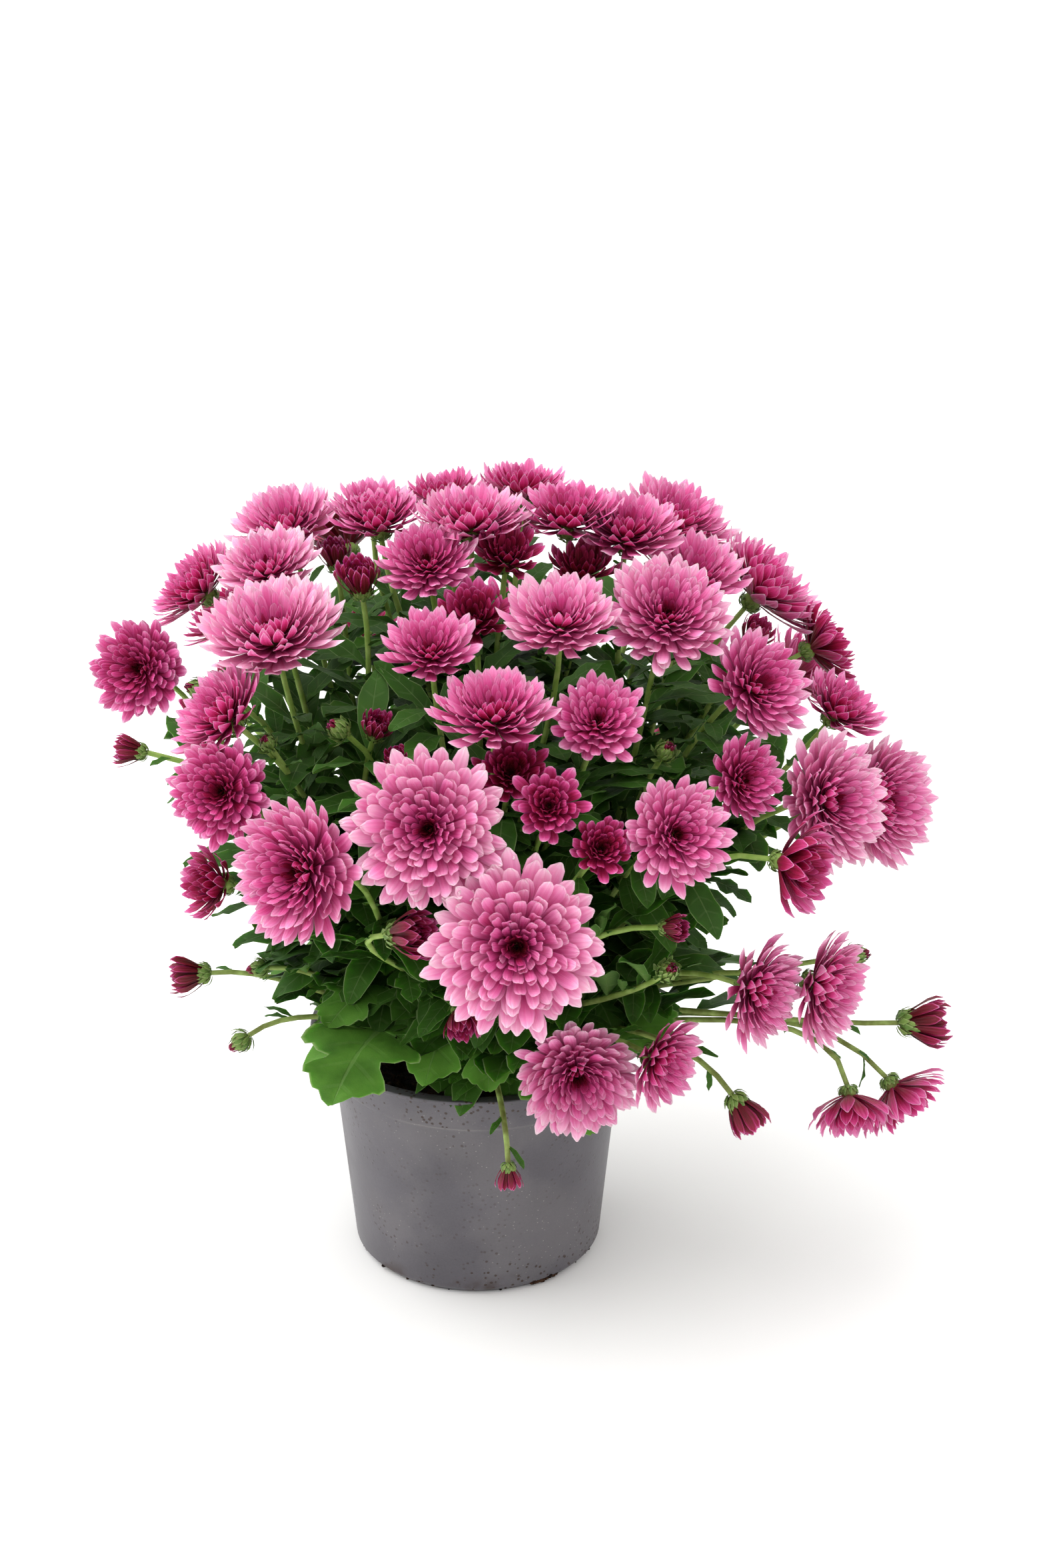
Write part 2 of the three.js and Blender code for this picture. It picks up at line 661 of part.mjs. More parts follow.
// A leaf as one thin solid, split alike above and below. It grows from the root along the given
// direction, first its petiole and then the blade.
function makeLeaf(kind, root, along, petiole, length, bend, roll = 0) {
  const { edge, rib, faces } = OUTLINES[kind];
  const placeAt = bladeFrame(root, along, petiole, length, bend, roll);
  const names = new Map();
  const skin = new Skin();
  const put = (name, share, aside) => {
    const { point, lift } = placeAt(share, aside);
    names.set(name, skin.points.length);
    skin.points.push(point, point.clone().addScaledVector(lift, -BLADE.thickness));
  };
  const thin = BLADE.edge / length;
  const left = edge.map(([share, aside], i) => [`${i}`, share, Math.max(aside, thin)]);
  if (petiole) left.unshift(['root', -petiole / length, thin]);
  left.forEach(([mark, share, aside]) => put(`L${mark}`, share, aside));
  put('T', 1, 0);
  left.forEach(([mark, share, aside]) => put(`R${mark}`, share, -aside));
  rib.forEach((share, i) => put(`M${i}`, share, 0));
  const stem = petiole ? ['Lroot L0 Rroot', 'L0 R0 Rroot'] : [];
  [...stem, ...faces].forEach((face) => {
    const [a, b, c] = face.split(' ').map((name) => names.get(name));
    skin.faces.push(a, c, b, a + 1, b + 1, c + 1);
  });
  const rim = [...left.map(([mark]) => `L${mark}`), 'T', ...left.map(([mark]) => `R${mark}`).reverse()];
  rim.forEach((name, i) => {
    const a = names.get(name);
    const b = names.get(rim[(i + 1) % rim.length]);
    skin.faces.push(a, b, a + 1, b, b + 1, a + 1);
  });
  return skin.solid();
}

// ---- Calyx, tufts and buds at the ends of the stalks, in the frame of the stalk's end ----

function addHead(skin, last, frame, rings, apex) {
  let ring = last;
  rings.forEach(({ points }) => {
    ring = skin.join(ring, skin.ring(points.map((p) => p.applyMatrix4(frame))));
  });
  skin.top(ring, apex ? apex.applyMatrix4(frame) : undefined);
}

// A cup with a ring of short petals round it, which stand apart at their tips.
function tuftRings(radius) {
  const star = [];
  for (let i = 0; i < TUFT.petals; i += 1) {
    const a = (2 * Math.PI * i) / TUFT.petals;
    const b = a + Math.PI / TUFT.petals;
    star.push(vec(Math.cos(a) * TUFT.notch, Math.sin(a) * TUFT.notch, TUFT.notchHeight));
    star.push(vec(Math.cos(b), Math.sin(b), TUFT.tip));
  }
  return [
    { points: circle(CALYX.sides, TUFT.cup * radius, TUFT.cupHeight * radius) },
    { points: star.map((p) => p.multiplyScalar(radius)) },
  ];
}

function budRings(radius) {
  return [
    { points: circle(CALYX.sides, BUD.low * radius, BUD.lowHeight * radius) },
    { points: circle(CALYX.sides, BUD.high * radius, BUD.highHeight * radius) },
  ];
}

// Point on the straight pieces that the middle line of a stalk is made of.
function onTube(curve, share) {
  const steps = tubeRadii(curve).length - 1;
  const step = Math.min(steps - 1, Math.floor(share * steps));
  const a = curve.getPointAt(step / steps);
  return a.lerp(curve.getPointAt((step + 1) / steps), share * steps - step);
}

// Small leaf on a stalk, placed and turned about it by seeded draws.
function smallLeaf(curve, number, turn) {
  const share = SMALL_LEAF.lowest + SMALL_LEAF.spread * draw(number, 30 + turn);
  const tangent = curve.getTangentAt(share);
  const about = direction(360 * draw(number, 60 + turn), 10);
  const aside = about.addScaledVector(tangent, -about.dot(tangent)).normalize();
  const along = aside.addScaledVector(tangent, SMALL_LEAF.lean).normalize();
  const length = SMALL_LEAF.length + SMALL_LEAF.longer * draw(number, 90 + turn);
  return makeLeaf('narrow', onTube(curve, share), along, 0, length, SMALL_LEAF.bend);
}

// ---- The whole plant ----

const plant = new THREE.Group();
plant.name = 'pot_chrysanthemum';

function addPiece(name, geometry, colour, roughness) {
  const material = new THREE.MeshStandardMaterial({ color: colour, roughness, metalness: 0 });
  const mesh = new THREE.Mesh(geometry, material);
  mesh.name = name;
  plant.add(mesh);
  return mesh;
}

addPiece('pot', makePot(), COLOURS.pot, 0.5);
addPiece('soil', makeSoil(), COLOURS.soil, 0.95);

const pad = (number) => String(number).padStart(2, '0');
const placed = new Map();
const greens = new Map(Object.keys(MAINS).map((name) => [name, [makeMain(name)]]));

BLOOMS.forEach(([number, azimuth, elevation, reach, across, faceAzimuth, faceElevation, form, stem]) => {
  const radius = across / 2;
  const facing = direction(faceAzimuth, faceElevation);
  const seat = onDome(azimuth, elevation, reach).addScaledVector(facing, -SEAT.depth * radius);
  const turn = new THREE.Quaternion().setFromUnitVectors(UP, facing);
  turn.multiply(new THREE.Quaternion().setFromAxisAngle(UP, 2 * Math.PI * draw(number, 7)));
  const place = new THREE.Matrix4().compose(seat, turn, vec(1, 1, 1));
  placed.set(number, { geometry: makeBloom(form, radius, number), place, form });

  const skin = new Skin();
  const calyx = CALYX.radius * radius;
  const neck = seat.clone().addScaledVector(facing, -GAP - calyx);
  const curve = stalkCurve(stem, azimuth, elevation, neck, facing);
  const { last, frame } = tube(skin, curve, STALK.sides, tubeRadii(curve));
  addHead(skin, last, frame, [{ points: circle(CALYX.sides, calyx, calyx) }]);
  greens.get(stem).push(skin.solid());
  if (LEAFY.includes(number)) {
    greens.get(stem).push(smallLeaf(curve, number, SECOND_DRAW.includes(number) ? 1 : 0));
  }
});

const clustered = new Set(CLUSTERS.flat());
const tint = { large: COLOURS.pale, full: COLOURS.pink, mid: COLOURS.pink, small: COLOURS.deep };
placed.forEach(({ geometry, place, form }, number) => {
  if (clustered.has(number)) return;
  const mesh = addPiece(`bloom_${pad(number)}`, geometry, tint[form], 0.6);
  place.decompose(mesh.position, mesh.quaternion, mesh.scale);
});
CLUSTERS.forEach((numbers) => {
  const solids = numbers.map((number) => {
    const { geometry, place } = placed.get(number);
    return solidOf(geometry.applyMatrix4(place));
  });
  const name = `bloom_${numbers.map(pad).join('_')}`;
  addPiece(name, geometryOf(fuse(solids)), tint[placed.get(numbers[0]).form], 0.6);
});

BUDS.forEach(([azimuth, elevation, reach, across, faceAzimuth, faceElevation, kind, stem]) => {
  const radius = across / 2;
  const facing = direction(faceAzimuth, faceElevation);
  const end = onDome(azimuth, elevation, reach).addScaledVector(facing, -radius);
  const skin = new Skin();
  const curve = stalkCurve(stem, azimuth, elevation, end, facing);
  const { last, frame } = tube(skin, curve, STALK.sides, tubeRadii(curve));
  if (kind === 'tuft') addHead(skin, last, frame, tuftRings(radius), vec(0, 0, TUFT.apex * radius));
  else addHead(skin, last, frame, budRings(radius), vec(0, 0, BUD.apex * radius));
  greens.get(stem).push(skin.solid());
});

LEAVES.forEach(([stem, height, azimuth, elevation, petiole, length, bend, kind, roll]) => {
  const along = direction(azimuth, elevation);
  greens.get(stem).push(makeLeaf(kind, mainPoint(stem, height), along, petiole, length, bend, roll));
});

greens.forEach((solids, name) => {
  addPiece(`leafy_stem_${name}`, geometryOf(fuse(solids)), COLOURS.leaf, 0.65);
});

export default plant;
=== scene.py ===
# %% [markdown]
# # A pot chrysanthemum
#
# A pot chrysanthemum is a ring of cuttings planted together in one small growing pot and pinched so
# that they branch into a dome. Every branch ends in a flower head, and every head is a hundred or
# more strap-shaped florets, which we call petals here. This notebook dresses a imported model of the
# plant: the model says where each bloom, stalk and leaf is, and Blender gives them their real
# number of petals, their curves and their colours.

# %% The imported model
import math
from collections import namedtuple
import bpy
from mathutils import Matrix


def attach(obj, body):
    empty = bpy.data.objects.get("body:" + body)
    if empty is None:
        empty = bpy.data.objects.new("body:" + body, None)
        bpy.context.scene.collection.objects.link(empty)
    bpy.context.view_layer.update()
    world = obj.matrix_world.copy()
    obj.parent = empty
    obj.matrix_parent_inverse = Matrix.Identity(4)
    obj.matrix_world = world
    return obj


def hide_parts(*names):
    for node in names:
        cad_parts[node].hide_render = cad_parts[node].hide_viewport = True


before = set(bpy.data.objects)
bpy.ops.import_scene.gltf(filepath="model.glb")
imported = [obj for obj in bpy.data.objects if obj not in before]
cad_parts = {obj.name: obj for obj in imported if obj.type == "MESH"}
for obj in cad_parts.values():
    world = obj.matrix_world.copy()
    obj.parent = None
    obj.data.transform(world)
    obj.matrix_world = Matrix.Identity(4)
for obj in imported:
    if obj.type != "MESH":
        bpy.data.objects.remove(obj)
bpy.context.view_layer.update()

from types import SimpleNamespace

import bmesh
import bpy
import numpy as np
from mathutils import Matrix, Quaternion, Vector, noise

BODY = "root"

# %% [markdown]
# ## The plant's own plan
#
# A plant has no straight edges to measure from, so its plan is a list of flowers. Blooms lie on a
# ball, the dome, and each one is noted by the direction in which it lies, how far out it is, how
# wide it is and which way it faces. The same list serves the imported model, so every petal made here
# falls on the bloom it belongs to. Lengths in the lists are millimetres, and angles degrees.

# %% Dome, stems and the random draws
MM = 0.001
UP = Vector((0, 0, 1))
ASIDE = 3  # the plant grows this far to the right of the pot's axis
DOME_CENTRE = Vector((ASIDE, 0, 150)) * MM
DOME_RADIUS = 156 * MM
GROUND = 86 * MM  # height where the main stems leave the soil
STEM_FOOT = 64 * MM
STEM_TOP = 152 * MM
CENTRE_TOP = 196 * MM
# The azimuth to which each main stem leans. The one in the centre grows upright.
STEM_LEAN = {
    "front": 0,
    "front_right": 60,
    "back_right": 120,
    "back": 180,
    "back_left": -120,
    "front_left": -60,
    "centre": None,
}


def draw(i, k):
    """A number from 0 to 1 that is always the same for the same two whole numbers."""
    s = math.sin(i * 12.9898 + k * 78.233) * 43758.5453
    return s - math.floor(s)


def sway(i, k):
    """The same number, spread over -1 to 1."""
    return 2 * draw(i, k) - 1


def clamp(value):
    return min(1, max(0, value))


def between(low, high, share):
    return low + (high - low) * share


def direction(azimuth, elevation):
    """Unit vector: azimuth from the front towards +X, elevation over the horizon."""
    a, e = math.radians(azimuth), math.radians(elevation)
    return Vector((math.sin(a) * math.cos(e), -math.cos(a) * math.cos(e), math.sin(e)))


def on_dome(azimuth, elevation, reach):
    """A place at this share of the dome's radius from its centre."""
    return DOME_CENTRE + direction(azimuth, elevation) * (DOME_RADIUS * reach)


print("dome round", tuple(DOME_CENTRE), "main stems:", len(STEM_LEAN))

# %% Open blooms
Flower = namedtuple(
    "Flower", "number azimuth elevation reach width face_azimuth face_elevation form stem"
)

# Number, azimuth, elevation, reach, width, facing azimuth and elevation, form, main stem.
BLOOM_ROWS = [
    (1, -115, 59, 1.02, 40, -40, 70, "full", "back_left"),
    (2, -100, 75, 1, 33, 0, 86, "mid", "centre"),
    (3, -82, 76, 0.99, 33, -40, 80, "mid", "centre"),
    (4, -158, 75, 0.97, 33, -100, 84, "mid", "centre"),
    (5, -12, 84, 0.99, 42, 0, 88, "full", "centre"),
    (6, -27, 74, 0.96, 36, -10, 58, "full", "centre"),
    (7, 160, 73, 0.99, 34, 120, 84, "mid", "centre"),
    (8, 73, 78, 1, 38, -20, 82, "mid", "centre"),
    (9, 80, 70, 1, 36, 20, 75, "full", "front_right"),
    (10, 117, 59, 1.02, 39, 60, 66, "full", "back_right"),
    (11, 104, 46, 1.01, 43, 90, 48, "full", "back_right"),
    (12, 98, 36, 1.02, 34, 100, 22, "mid", "back_right"),
    (13, 20, 79, 0.93, 28, 10, 58, "small", "centre"),
    (14, -79, 60, 1, 38, -20, 66, "full", "front_left"),
    (15, -103, 46, 1.02, 36, -80, 45, "full", "back_left"),
    (16, -51, 54, 1, 52, -20, 71, "large", "front_left"),
    (19, -2, 67, 0.9, 30, -5, 52, "small", "front"),
    (20, 22, 61, 0.98, 42, 0, 66, "full", "front"),
    (21, 50, 57, 1, 46, 10, 52, "large", "front_right"),
    (22, 85, 59, 0.97, 37, 30, 66, "mid", "front_right"),
    (23, 62, 73, 0.9, 25, 0, 70, "small", "centre"),
    (24, 58, 43, 1, 40, 40, 35, "full", "front_right"),
    (25, 81, 32, 1, 33, 70, 55, "mid", "front_right"),
    (27, -12, 58, 0.95, 34, -5, 64, "mid", "front"),
    (28, 3, 48, 0.97, 42, 0, 75, "full", "front"),
    (29, 23, 46, 0.95, 34, 5, 46, "mid", "front"),
    (30, -91, 35, 1, 38, -15, 22, "full", "front_left"),
    (31, -49, 41, 1, 41, -65, 42, "full", "front_left"),
    (32, -41, 32, 1, 37, -15, 25, "full", "front_left"),
    (33, -7, 32, 1, 54, -5, 25, "large", "front"),
    (34, 5, 18, 1.01, 58, 0, 22, "large", "front"),
    (35, -25, 25, 1, 49, -33, 18, "large", "front_left"),
    (36, -52, 17, 0.8, 30, -60, 15, "small", "front_left"),
    (37, 6, 41, 0.9, 27, 5, 40, "small", "front"),
    (38, 11, 35, 0.97, 27, 0, 30, "small", "front"),
    (39, 18, 29, 0.97, 23, 10, 35, "small", "front"),
    (40, 29, 29, 1, 39, 20, 28, "full", "front_right"),
    (41, 47, 33, 0.95, 31, 35, 25, "mid", "front_right"),
    (42, 61, 25, 1, 48, 40, 20, "large", "front_right"),
    (43, 82, 17, 1.01, 50, 46, 15, "large", "front_right"),
    (44, 47, 21, 1, 30, 60, 0, "small", "front_right"),
    (45, 46, 2, 0.88, 41, 48, 0, "full", "front_right"),
    (46, 58, -1, 0.94, 44, 56, 0, "full", "front_right"),
    (47, 19, -14, 0.7, 45, 8, 2, "large", "front"),
    (48, 33, -10, 0.77, 36, 48, -8, "mid", "front"),
    (49, 68, -23, 1.03, 30, 10, -50, "small", "front_right"),
    (50, 75, -22, 1.13, 36, 60, -45, "mid", "front_right"),
    (60, 140, 43, 1, 40, 125, 48, "mid", "back_right"),
    (61, 174, 50, 1, 42, 170, 52, "full", "back"),
    (62, -148, 47, 1, 40, -150, 48, "small", "back_left"),
    (63, -122, 37, 0.96, 38, -115, 40, "mid", "back_left"),
    (64, 117, 25, 1, 40, 112, 28, "mid", "back_right"),
    (65, 146, 21, 1, 44, 145, 24, "mid", "back_right"),
    (66, 176, 24, 1, 40, 176, 28, "mid", "back"),
    (67, -157, 22, 1, 43, -160, 24, "mid", "back"),
    (68, -130, 17, 0.92, 40, -130, 20, "small", "back_left"),
    (69, 118, 4, 0.98, 35, 115, 10, "small", "back_right"),
    (70, 150, 0, 0.95, 38, 150, 5, "small", "back"),
]
BLOOMS = [Flower(*row) for row in BLOOM_ROWS]
CLUSTERS = [[2, 3], [5, 6, 13], [8, 9], [16, 31, 32], [33, 34], [39, 40], [49, 50]]
print("open blooms:", len(BLOOMS), "groups that touch:", len(CLUSTERS))

# %% Flowers that are not open yet, and the large leaves
# Azimuth, elevation, reach, width, facing azimuth and elevation, form, main stem.
YOUNG_ROWS = [
    (-50, 68, 0.95, 17, -30, 75, "tuft", "front_left"),
    (-122, 62, 0.9, 15, -40, 80, "tuft", "back_left"),
    (77, -12, 1.12, 21, 85, 5, "tuft", "front_right"),
    (-12, 17, 0.75, 19, 60, 15, "tuft", "front"),
    (-4, -5, 0.6, 14, 10, -35, "tuft", "front"),
    (-80, -13, 0.75, 17, -85, -5, "tuft", "front_left"),
    (-73, 29, 0.97, 13, -85, 10, "tuft", "front_left"),
    (48, -21, 0.88, 17, 60, -50, "tuft", "front_right"),
    (31, 16, 0.86, 11, 60, 10, "tuft", "front"),
    (90, 46, 0.93, 14, 60, 60, "tuft", "back_right"),
    (-26, 50, 0.8, 13, 30, 60, "tuft", "front_left"),
    (-16, 43, 0.88, 9, 0, 45, "tuft", "front_left"),
    (6, -36, 0.76, 11, 10, -75, "tuft", "front"),
    (-64, -8, 0.6, 8, -80, 0, "bud", "front_left"),
    (-72, -27, 0.7, 9, -75, -35, "bud", "front_left"),
    (-76, 41, 0.9, 9, -70, 20, "bud", "front_left"),
    (74, -3, 0.93, 9, 90, 10, "bud", "front_right"),
    (31, 9, 0.82, 9, 20, 40, "bud", "front"),
    (43, 42, 0.82, 9, 30, 50, "bud", "front_right"),
    (-33, 47, 0.84, 9, -60, 40, "bud", "front_left"),
    (-45, 41, 0.88, 7, -30, 50, "bud", "front_left"),
]
FIRST_YOUNG = 200  # these flowers are numbered from here on
YOUNG = [Flower(FIRST_YOUNG + i, *row) for i, row in enumerate(YOUNG_ROWS)]

# Main stem, height of the root, azimuth, elevation, petiole, blade, bend in radians, outline, and
# for one leaf the roll that turns its blade to the light.
LARGE_LEAVES = [
    ("front", 130, -62, -17, 38, 54, 0.9, "lobed", 58),
    ("front", 106, -20, 28, 24, 46, 1.3, "lobed"),
    ("front", 92, 33, 20, 30, 50, 1.3, "lobed"),
    ("front", 103, 4, 26, 20, 40, 1.3, "lobed"),
    ("front", 122, -16, 40, 20, 46, 0.8, "lobed"),
    ("front", 125, 24, 44, 22, 44, 0.8, "oblong"),
    ("front_left", 95, -66, 12, 26, 34, 1.1, "oblong"),
    ("front_left", 114, -94, 22, 22, 46, 0.9, "lobed"),
    ("front_left", 120, -30, 22, 20, 46, 0.8, "lobed"),
    ("front_left", 141, -60, 28, 18, 46, 0.6, "oblong"),
    ("front_right", 104, 50, 18, 30, 50, 1.2, "lobed"),
    ("front_right", 111, 76, 28, 34, 54, 0.7, "lobed"),
    ("front_right", 122, 42, 38, 20, 46, 0.8, "lobed"),
    ("front_right", 137, 56, 43, 18, 46, 0.6, "oblong"),
    ("back_right", 102, 104, 18, 28, 52, 1.1, "lobed"),
    ("back_right", 116, 136, 25, 24, 50, 0.8, "oblong"),
    ("back_right", 141, 106, 44, 16, 46, 0.6, "oblong"),
    ("back", 102, 172, 18, 28, 52, 1.1, "lobed"),
    ("back", 116, -166, 35, 22, 50, 0.8, "oblong"),
    ("back", 140, -178, 46, 16, 46, 0.6, "oblong"),
    ("back_left", 102, -126, 18, 28, 52, 1.1, "lobed"),
    ("back_left", 111, -104, 30, 20, 48, 0.8, "oblong"),
    ("back_left", 138, -140, 42, 23, 46, 0.6, "oblong"),
    ("centre", 178, 20, 46, 12, 40, 0.6, "oblong"),
    ("centre", 179, 134, 46, 12, 40, 0.6, "oblong"),
    ("centre", 180, -80, 50, 12, 40, 0.6, "oblong"),
]

# Numbers of the stalks that carry a small leaf, and of those where the second draw places it.
LEAFY = [
    1, 5, 7, 9, 10, 11, 14, 15, 16, 20, 21, 24, 25, 27, 28, 29, 30, 32, 35, 40, 41, 42, 44, 46,
    47, 50, 60, 61, 62, 64, 65, 66, 67, 68, 70,
]
SECOND_DRAW = [1, 5, 11, 15, 21, 28, 47, 66]
print("young flowers:", len(YOUNG), "large leaves:", len(LARGE_LEAVES), "small ones:", len(LEAFY))

# %% [markdown]
# ## The camera
#
# The plant is seen from a little above, by a lens somewhat longer than the eye's. Blender lays the
# sensor's width along the longer side of the picture, which is the upright one here, so the focal
# length is worked out on that side.

# %% Camera
PICTURE_HEIGHT = 2352  # pixels
FOCAL_PIXELS = 4000
SENSOR = 36
CAMERA_PLACE = (0.0179, -0.928, 0.578)
CAMERA_PITCH = 22.47  # degrees down from level


def new_object(name, data):
    """An object that stands in the scene."""
    made = bpy.data.objects.new(name, data)
    bpy.context.scene.collection.objects.link(made)
    return made


camera_data = bpy.data.cameras.new("camera")
camera_data.sensor_width = SENSOR
camera_data.lens = FOCAL_PIXELS / PICTURE_HEIGHT * SENSOR
camera = new_object("camera", camera_data)
camera.location = CAMERA_PLACE
camera.rotation_euler = (math.radians(90 - CAMERA_PITCH), 0, 0)
bpy.context.scene.camera = camera
print("lens:", round(camera_data.lens, 1), "mm")

# %% [markdown]
# ## Writing shaders as sums
#
# A finish is easier to read as a formula than as a picture of boxes. The class `Wire` stands for
# one value on its way through a shader. Adding, subtracting or multiplying wires, or raising one
# to a power, adds the Math node that does it. `Finish.add` makes every other kind of node.


# %% A small kit for finishes
class Wire:
    """One value in a shader. Python's operators on it add Math nodes."""

    def __init__(self, finish, socket):
        self.finish = finish
        self.socket = socket

    def math(self, operation, *values):
        return self.finish.add("Math", {"operation": operation}, dict(enumerate(values)))

    def __add__(self, other):
        return self.math("ADD", self, other)

    def __radd__(self, other):
        return self.math("ADD", other, self)

    def __sub__(self, other):
        return self.math("SUBTRACT", self, other)

    def __rsub__(self, other):
        return self.math("SUBTRACT", other, self)

    def __mul__(self, other):
        return self.math("MULTIPLY", self, other)

    def __rmul__(self, other):
        return self.math("MULTIPLY", other, self)

    def __pow__(self, other):
        return self.math("POWER", self, other)

    def size(self):
        return self.math("ABSOLUTE", self)

    def sine(self):
        return self.math("SINE", self)

    def clamped(self):
        return self.finish.add("Clamp", {}, {"Value": self})

    def rise(self, low, high):
        """0 below low, 1 above high, and a soft step between them."""
        settings = {"interpolation_type": "SMOOTHSTEP"}
        inputs = {"Value": self, "From Min": low, "From Max": high}
        return self.finish.add("MapRange", settings, inputs)

    def stripe(self, middle, width):
        """1 on a line, fading to 0 at this distance from it."""
        return 1 - (self - middle).size().rise(0, width)


def linear(red, green, blue):
    """A colour in 0 to 255 as the eye names it, turned into the amounts of light Blender uses."""
    return tuple((c / 255) ** 2.2 for c in (red, green, blue)) + (1,)


class Finish:
    """A material under construction."""

    def __init__(self, name):
        self.material = bpy.data.materials.new(name)
        self.material.use_nodes = True
        self.tree = self.material.node_tree
        self.tree.nodes.clear()

    def add(self, kind, settings, inputs, output=0):
        """A node with these settings and inputs, and the wire from one of its outputs."""
        node = self.tree.nodes.new("ShaderNode" + kind)
        for name, value in settings.items():
            if name == "stops":
                self.set_stops(node.color_ramp, value)
            else:
                setattr(node, name, value)
        for key, value in inputs.items():
            if isinstance(value, Wire):
                self.tree.links.new(value.socket, node.inputs[key])
            else:
                node.inputs[key].default_value = value
        return Wire(self, node.outputs[output])

    @staticmethod
    def set_stops(ramp, stops):
        while len(ramp.elements) < len(stops):
            ramp.elements.new(1)
        for element, (position, colour) in zip(ramp.elements, stops):
            element.position = position
            element.color = colour

    def attribute(self, name):
        """The three numbers that the mesh keeps under a name."""
        vector = self.add("Attribute", {"attribute_name": name}, {}, 1)
        return self.split(vector)

    def split(self, vector):
        first = self.add("SeparateXYZ", {}, {0: vector})
        outputs = first.socket.node.outputs
        return [Wire(self, socket) for socket in outputs]

    def place(self):
        return self.add("TexCoord", {}, {}, 3)

    def height(self):
        """How high a point lies over the floor."""
        return self.split(self.place())[2]

    def noise(self, scale, detail, vector=None):
        inputs = {"Vector": vector or self.place(), "Scale": scale, "Detail": detail}
        return self.add("TexNoise", {}, inputs)

    def spots(self, scale, size):
        """Small round spots, each about this share of their spacing wide."""
        distance = self.add("TexVoronoi", {}, {"Vector": self.place(), "Scale": scale})
        return 1 - distance.rise(size * 0.6, size)

    def ramp(self, factor, stops):
        return self.add("ValToRGB", {"stops": stops}, {0: factor})

    def mix(self, factor, first, second):
        return self.add("Mix", {"data_type": "RGBA"}, {0: factor, 6: first, 7: second}, 2)

    def bump(self, height, distance, strength=1.0):
        return self.add("Bump", {}, {"Height": height, "Distance": distance, "Strength": strength})

    def surface(self, **inputs):
        named = {name.replace("_", " "): value for name, value in inputs.items()}
        shader = self.add("BsdfPrincipled", {}, named)
        output = self.tree.nodes.new("ShaderNodeOutputMaterial")
        self.tree.links.new(shader.socket, output.inputs[0])
        return self.material


# %% [markdown]
# ## The colour of a petal
#
# A petal of this plant is deep crimson where it grows out of the centre and nearly white at its
# tip. It pales as the flower ages: a flower that has just opened is magenta all over. Its outer,
# lower face is duller, and three fine keels run along it. Each petal keeps where every point lies
# along and across it, how far out in the bloom it grows and how young the bloom is, and one ramp
# turns the sum of these into a colour.

# %% Petal finish
PETAL_STOPS = [
    (0.00, linear(58, 2, 10)),
    (0.12, linear(96, 6, 28)),
    (0.28, linear(152, 24, 70)),
    (0.46, linear(206, 72, 138)),
    (0.64, linear(230, 130, 180)),
    (0.82, linear(243, 180, 208)),
    (1.00, linear(251, 220, 230)),
]


def petal_finish():
    f = Finish("petal")
    along, across, age = f.attribute("petal")
    chance, under, youth = f.attribute("bloom")
    under = (under * 3).clamped()

    # Paler further out in the bloom and along the petal, duller outside, and darker while young.
    grown = (0.62 + 0.38 * age**0.5) * age.rise(-0.02, 0.16)
    inside = 0.4 + 0.59 * along**1.4
    outside = 0.24 + 0.62 * along**1.7
    shown = grown * (inside + (outside - inside) * under) * (1 - 0.8 * youth)
    # A young bloom's outer petals have pale tips all the same.
    shown = shown + (0.56 - 0.48 * under) * youth * age * along**5

    # Three keels, streaks along the petal, a pale rim, and a tone of its own for every petal.
    keels = (across * 9.4 + 1.57).sine() * along
    cloud = f.noise(420, 2.0)
    grain = f.add("CombineXYZ", {}, {0: across * 7.0, 1: along * 1.6, 2: chance * 90.0})
    streaks = f.noise(1.0, 3.0, grain)
    rim = across.size().rise(0.75, 1) * along**2
    shown = shown + 0.02 * keels + 0.2 * (streaks - 0.5) + 0.1 * rim * (1 - 0.7 * youth)
    shown = shown + 0.12 * (chance - 0.5) + 0.06 * (cloud - 0.5)
    height = keels + 0.6 * streaks + 0.3 * cloud
    return f.surface(
        Base_Color=f.ramp(shown.clamped(), PETAL_STOPS),
        Roughness=0.55,
        Specular_IOR_Level=0.35,
        Subsurface_Weight=0.25,
        Subsurface_Radius=(1.0, 0.5, 0.7),
        Subsurface_Scale=0.8 * MM,
        Normal=f.bump(height, 0.12 * MM, 0.8),
    )


PETAL = petal_finish()
print("petal finish:", len(PETAL.node_tree.nodes), "nodes")

# %% [markdown]
# ## The green of leaves and stalks
#
# The leaves of a chrysanthemum are dull dark green above and grey-green below, felted with short
# hairs that show as a pale line along the edge. Veins run out from the midrib into every lobe. The
# blades keep their own coordinates, so the veins follow each leaf however it bends.

# %% Leaf finish
LEAF_DARK = linear(42, 72, 22)
LEAF_GREEN = linear(68, 112, 36)
# The lightest green serves fresh leaves and the painted light on low leaves in front.
LEAF_FRESH_LIT = linear(98, 148, 58)
LEAF_UNDER = linear(94, 126, 62)
LEAF_EDGE = linear(150, 176, 116)


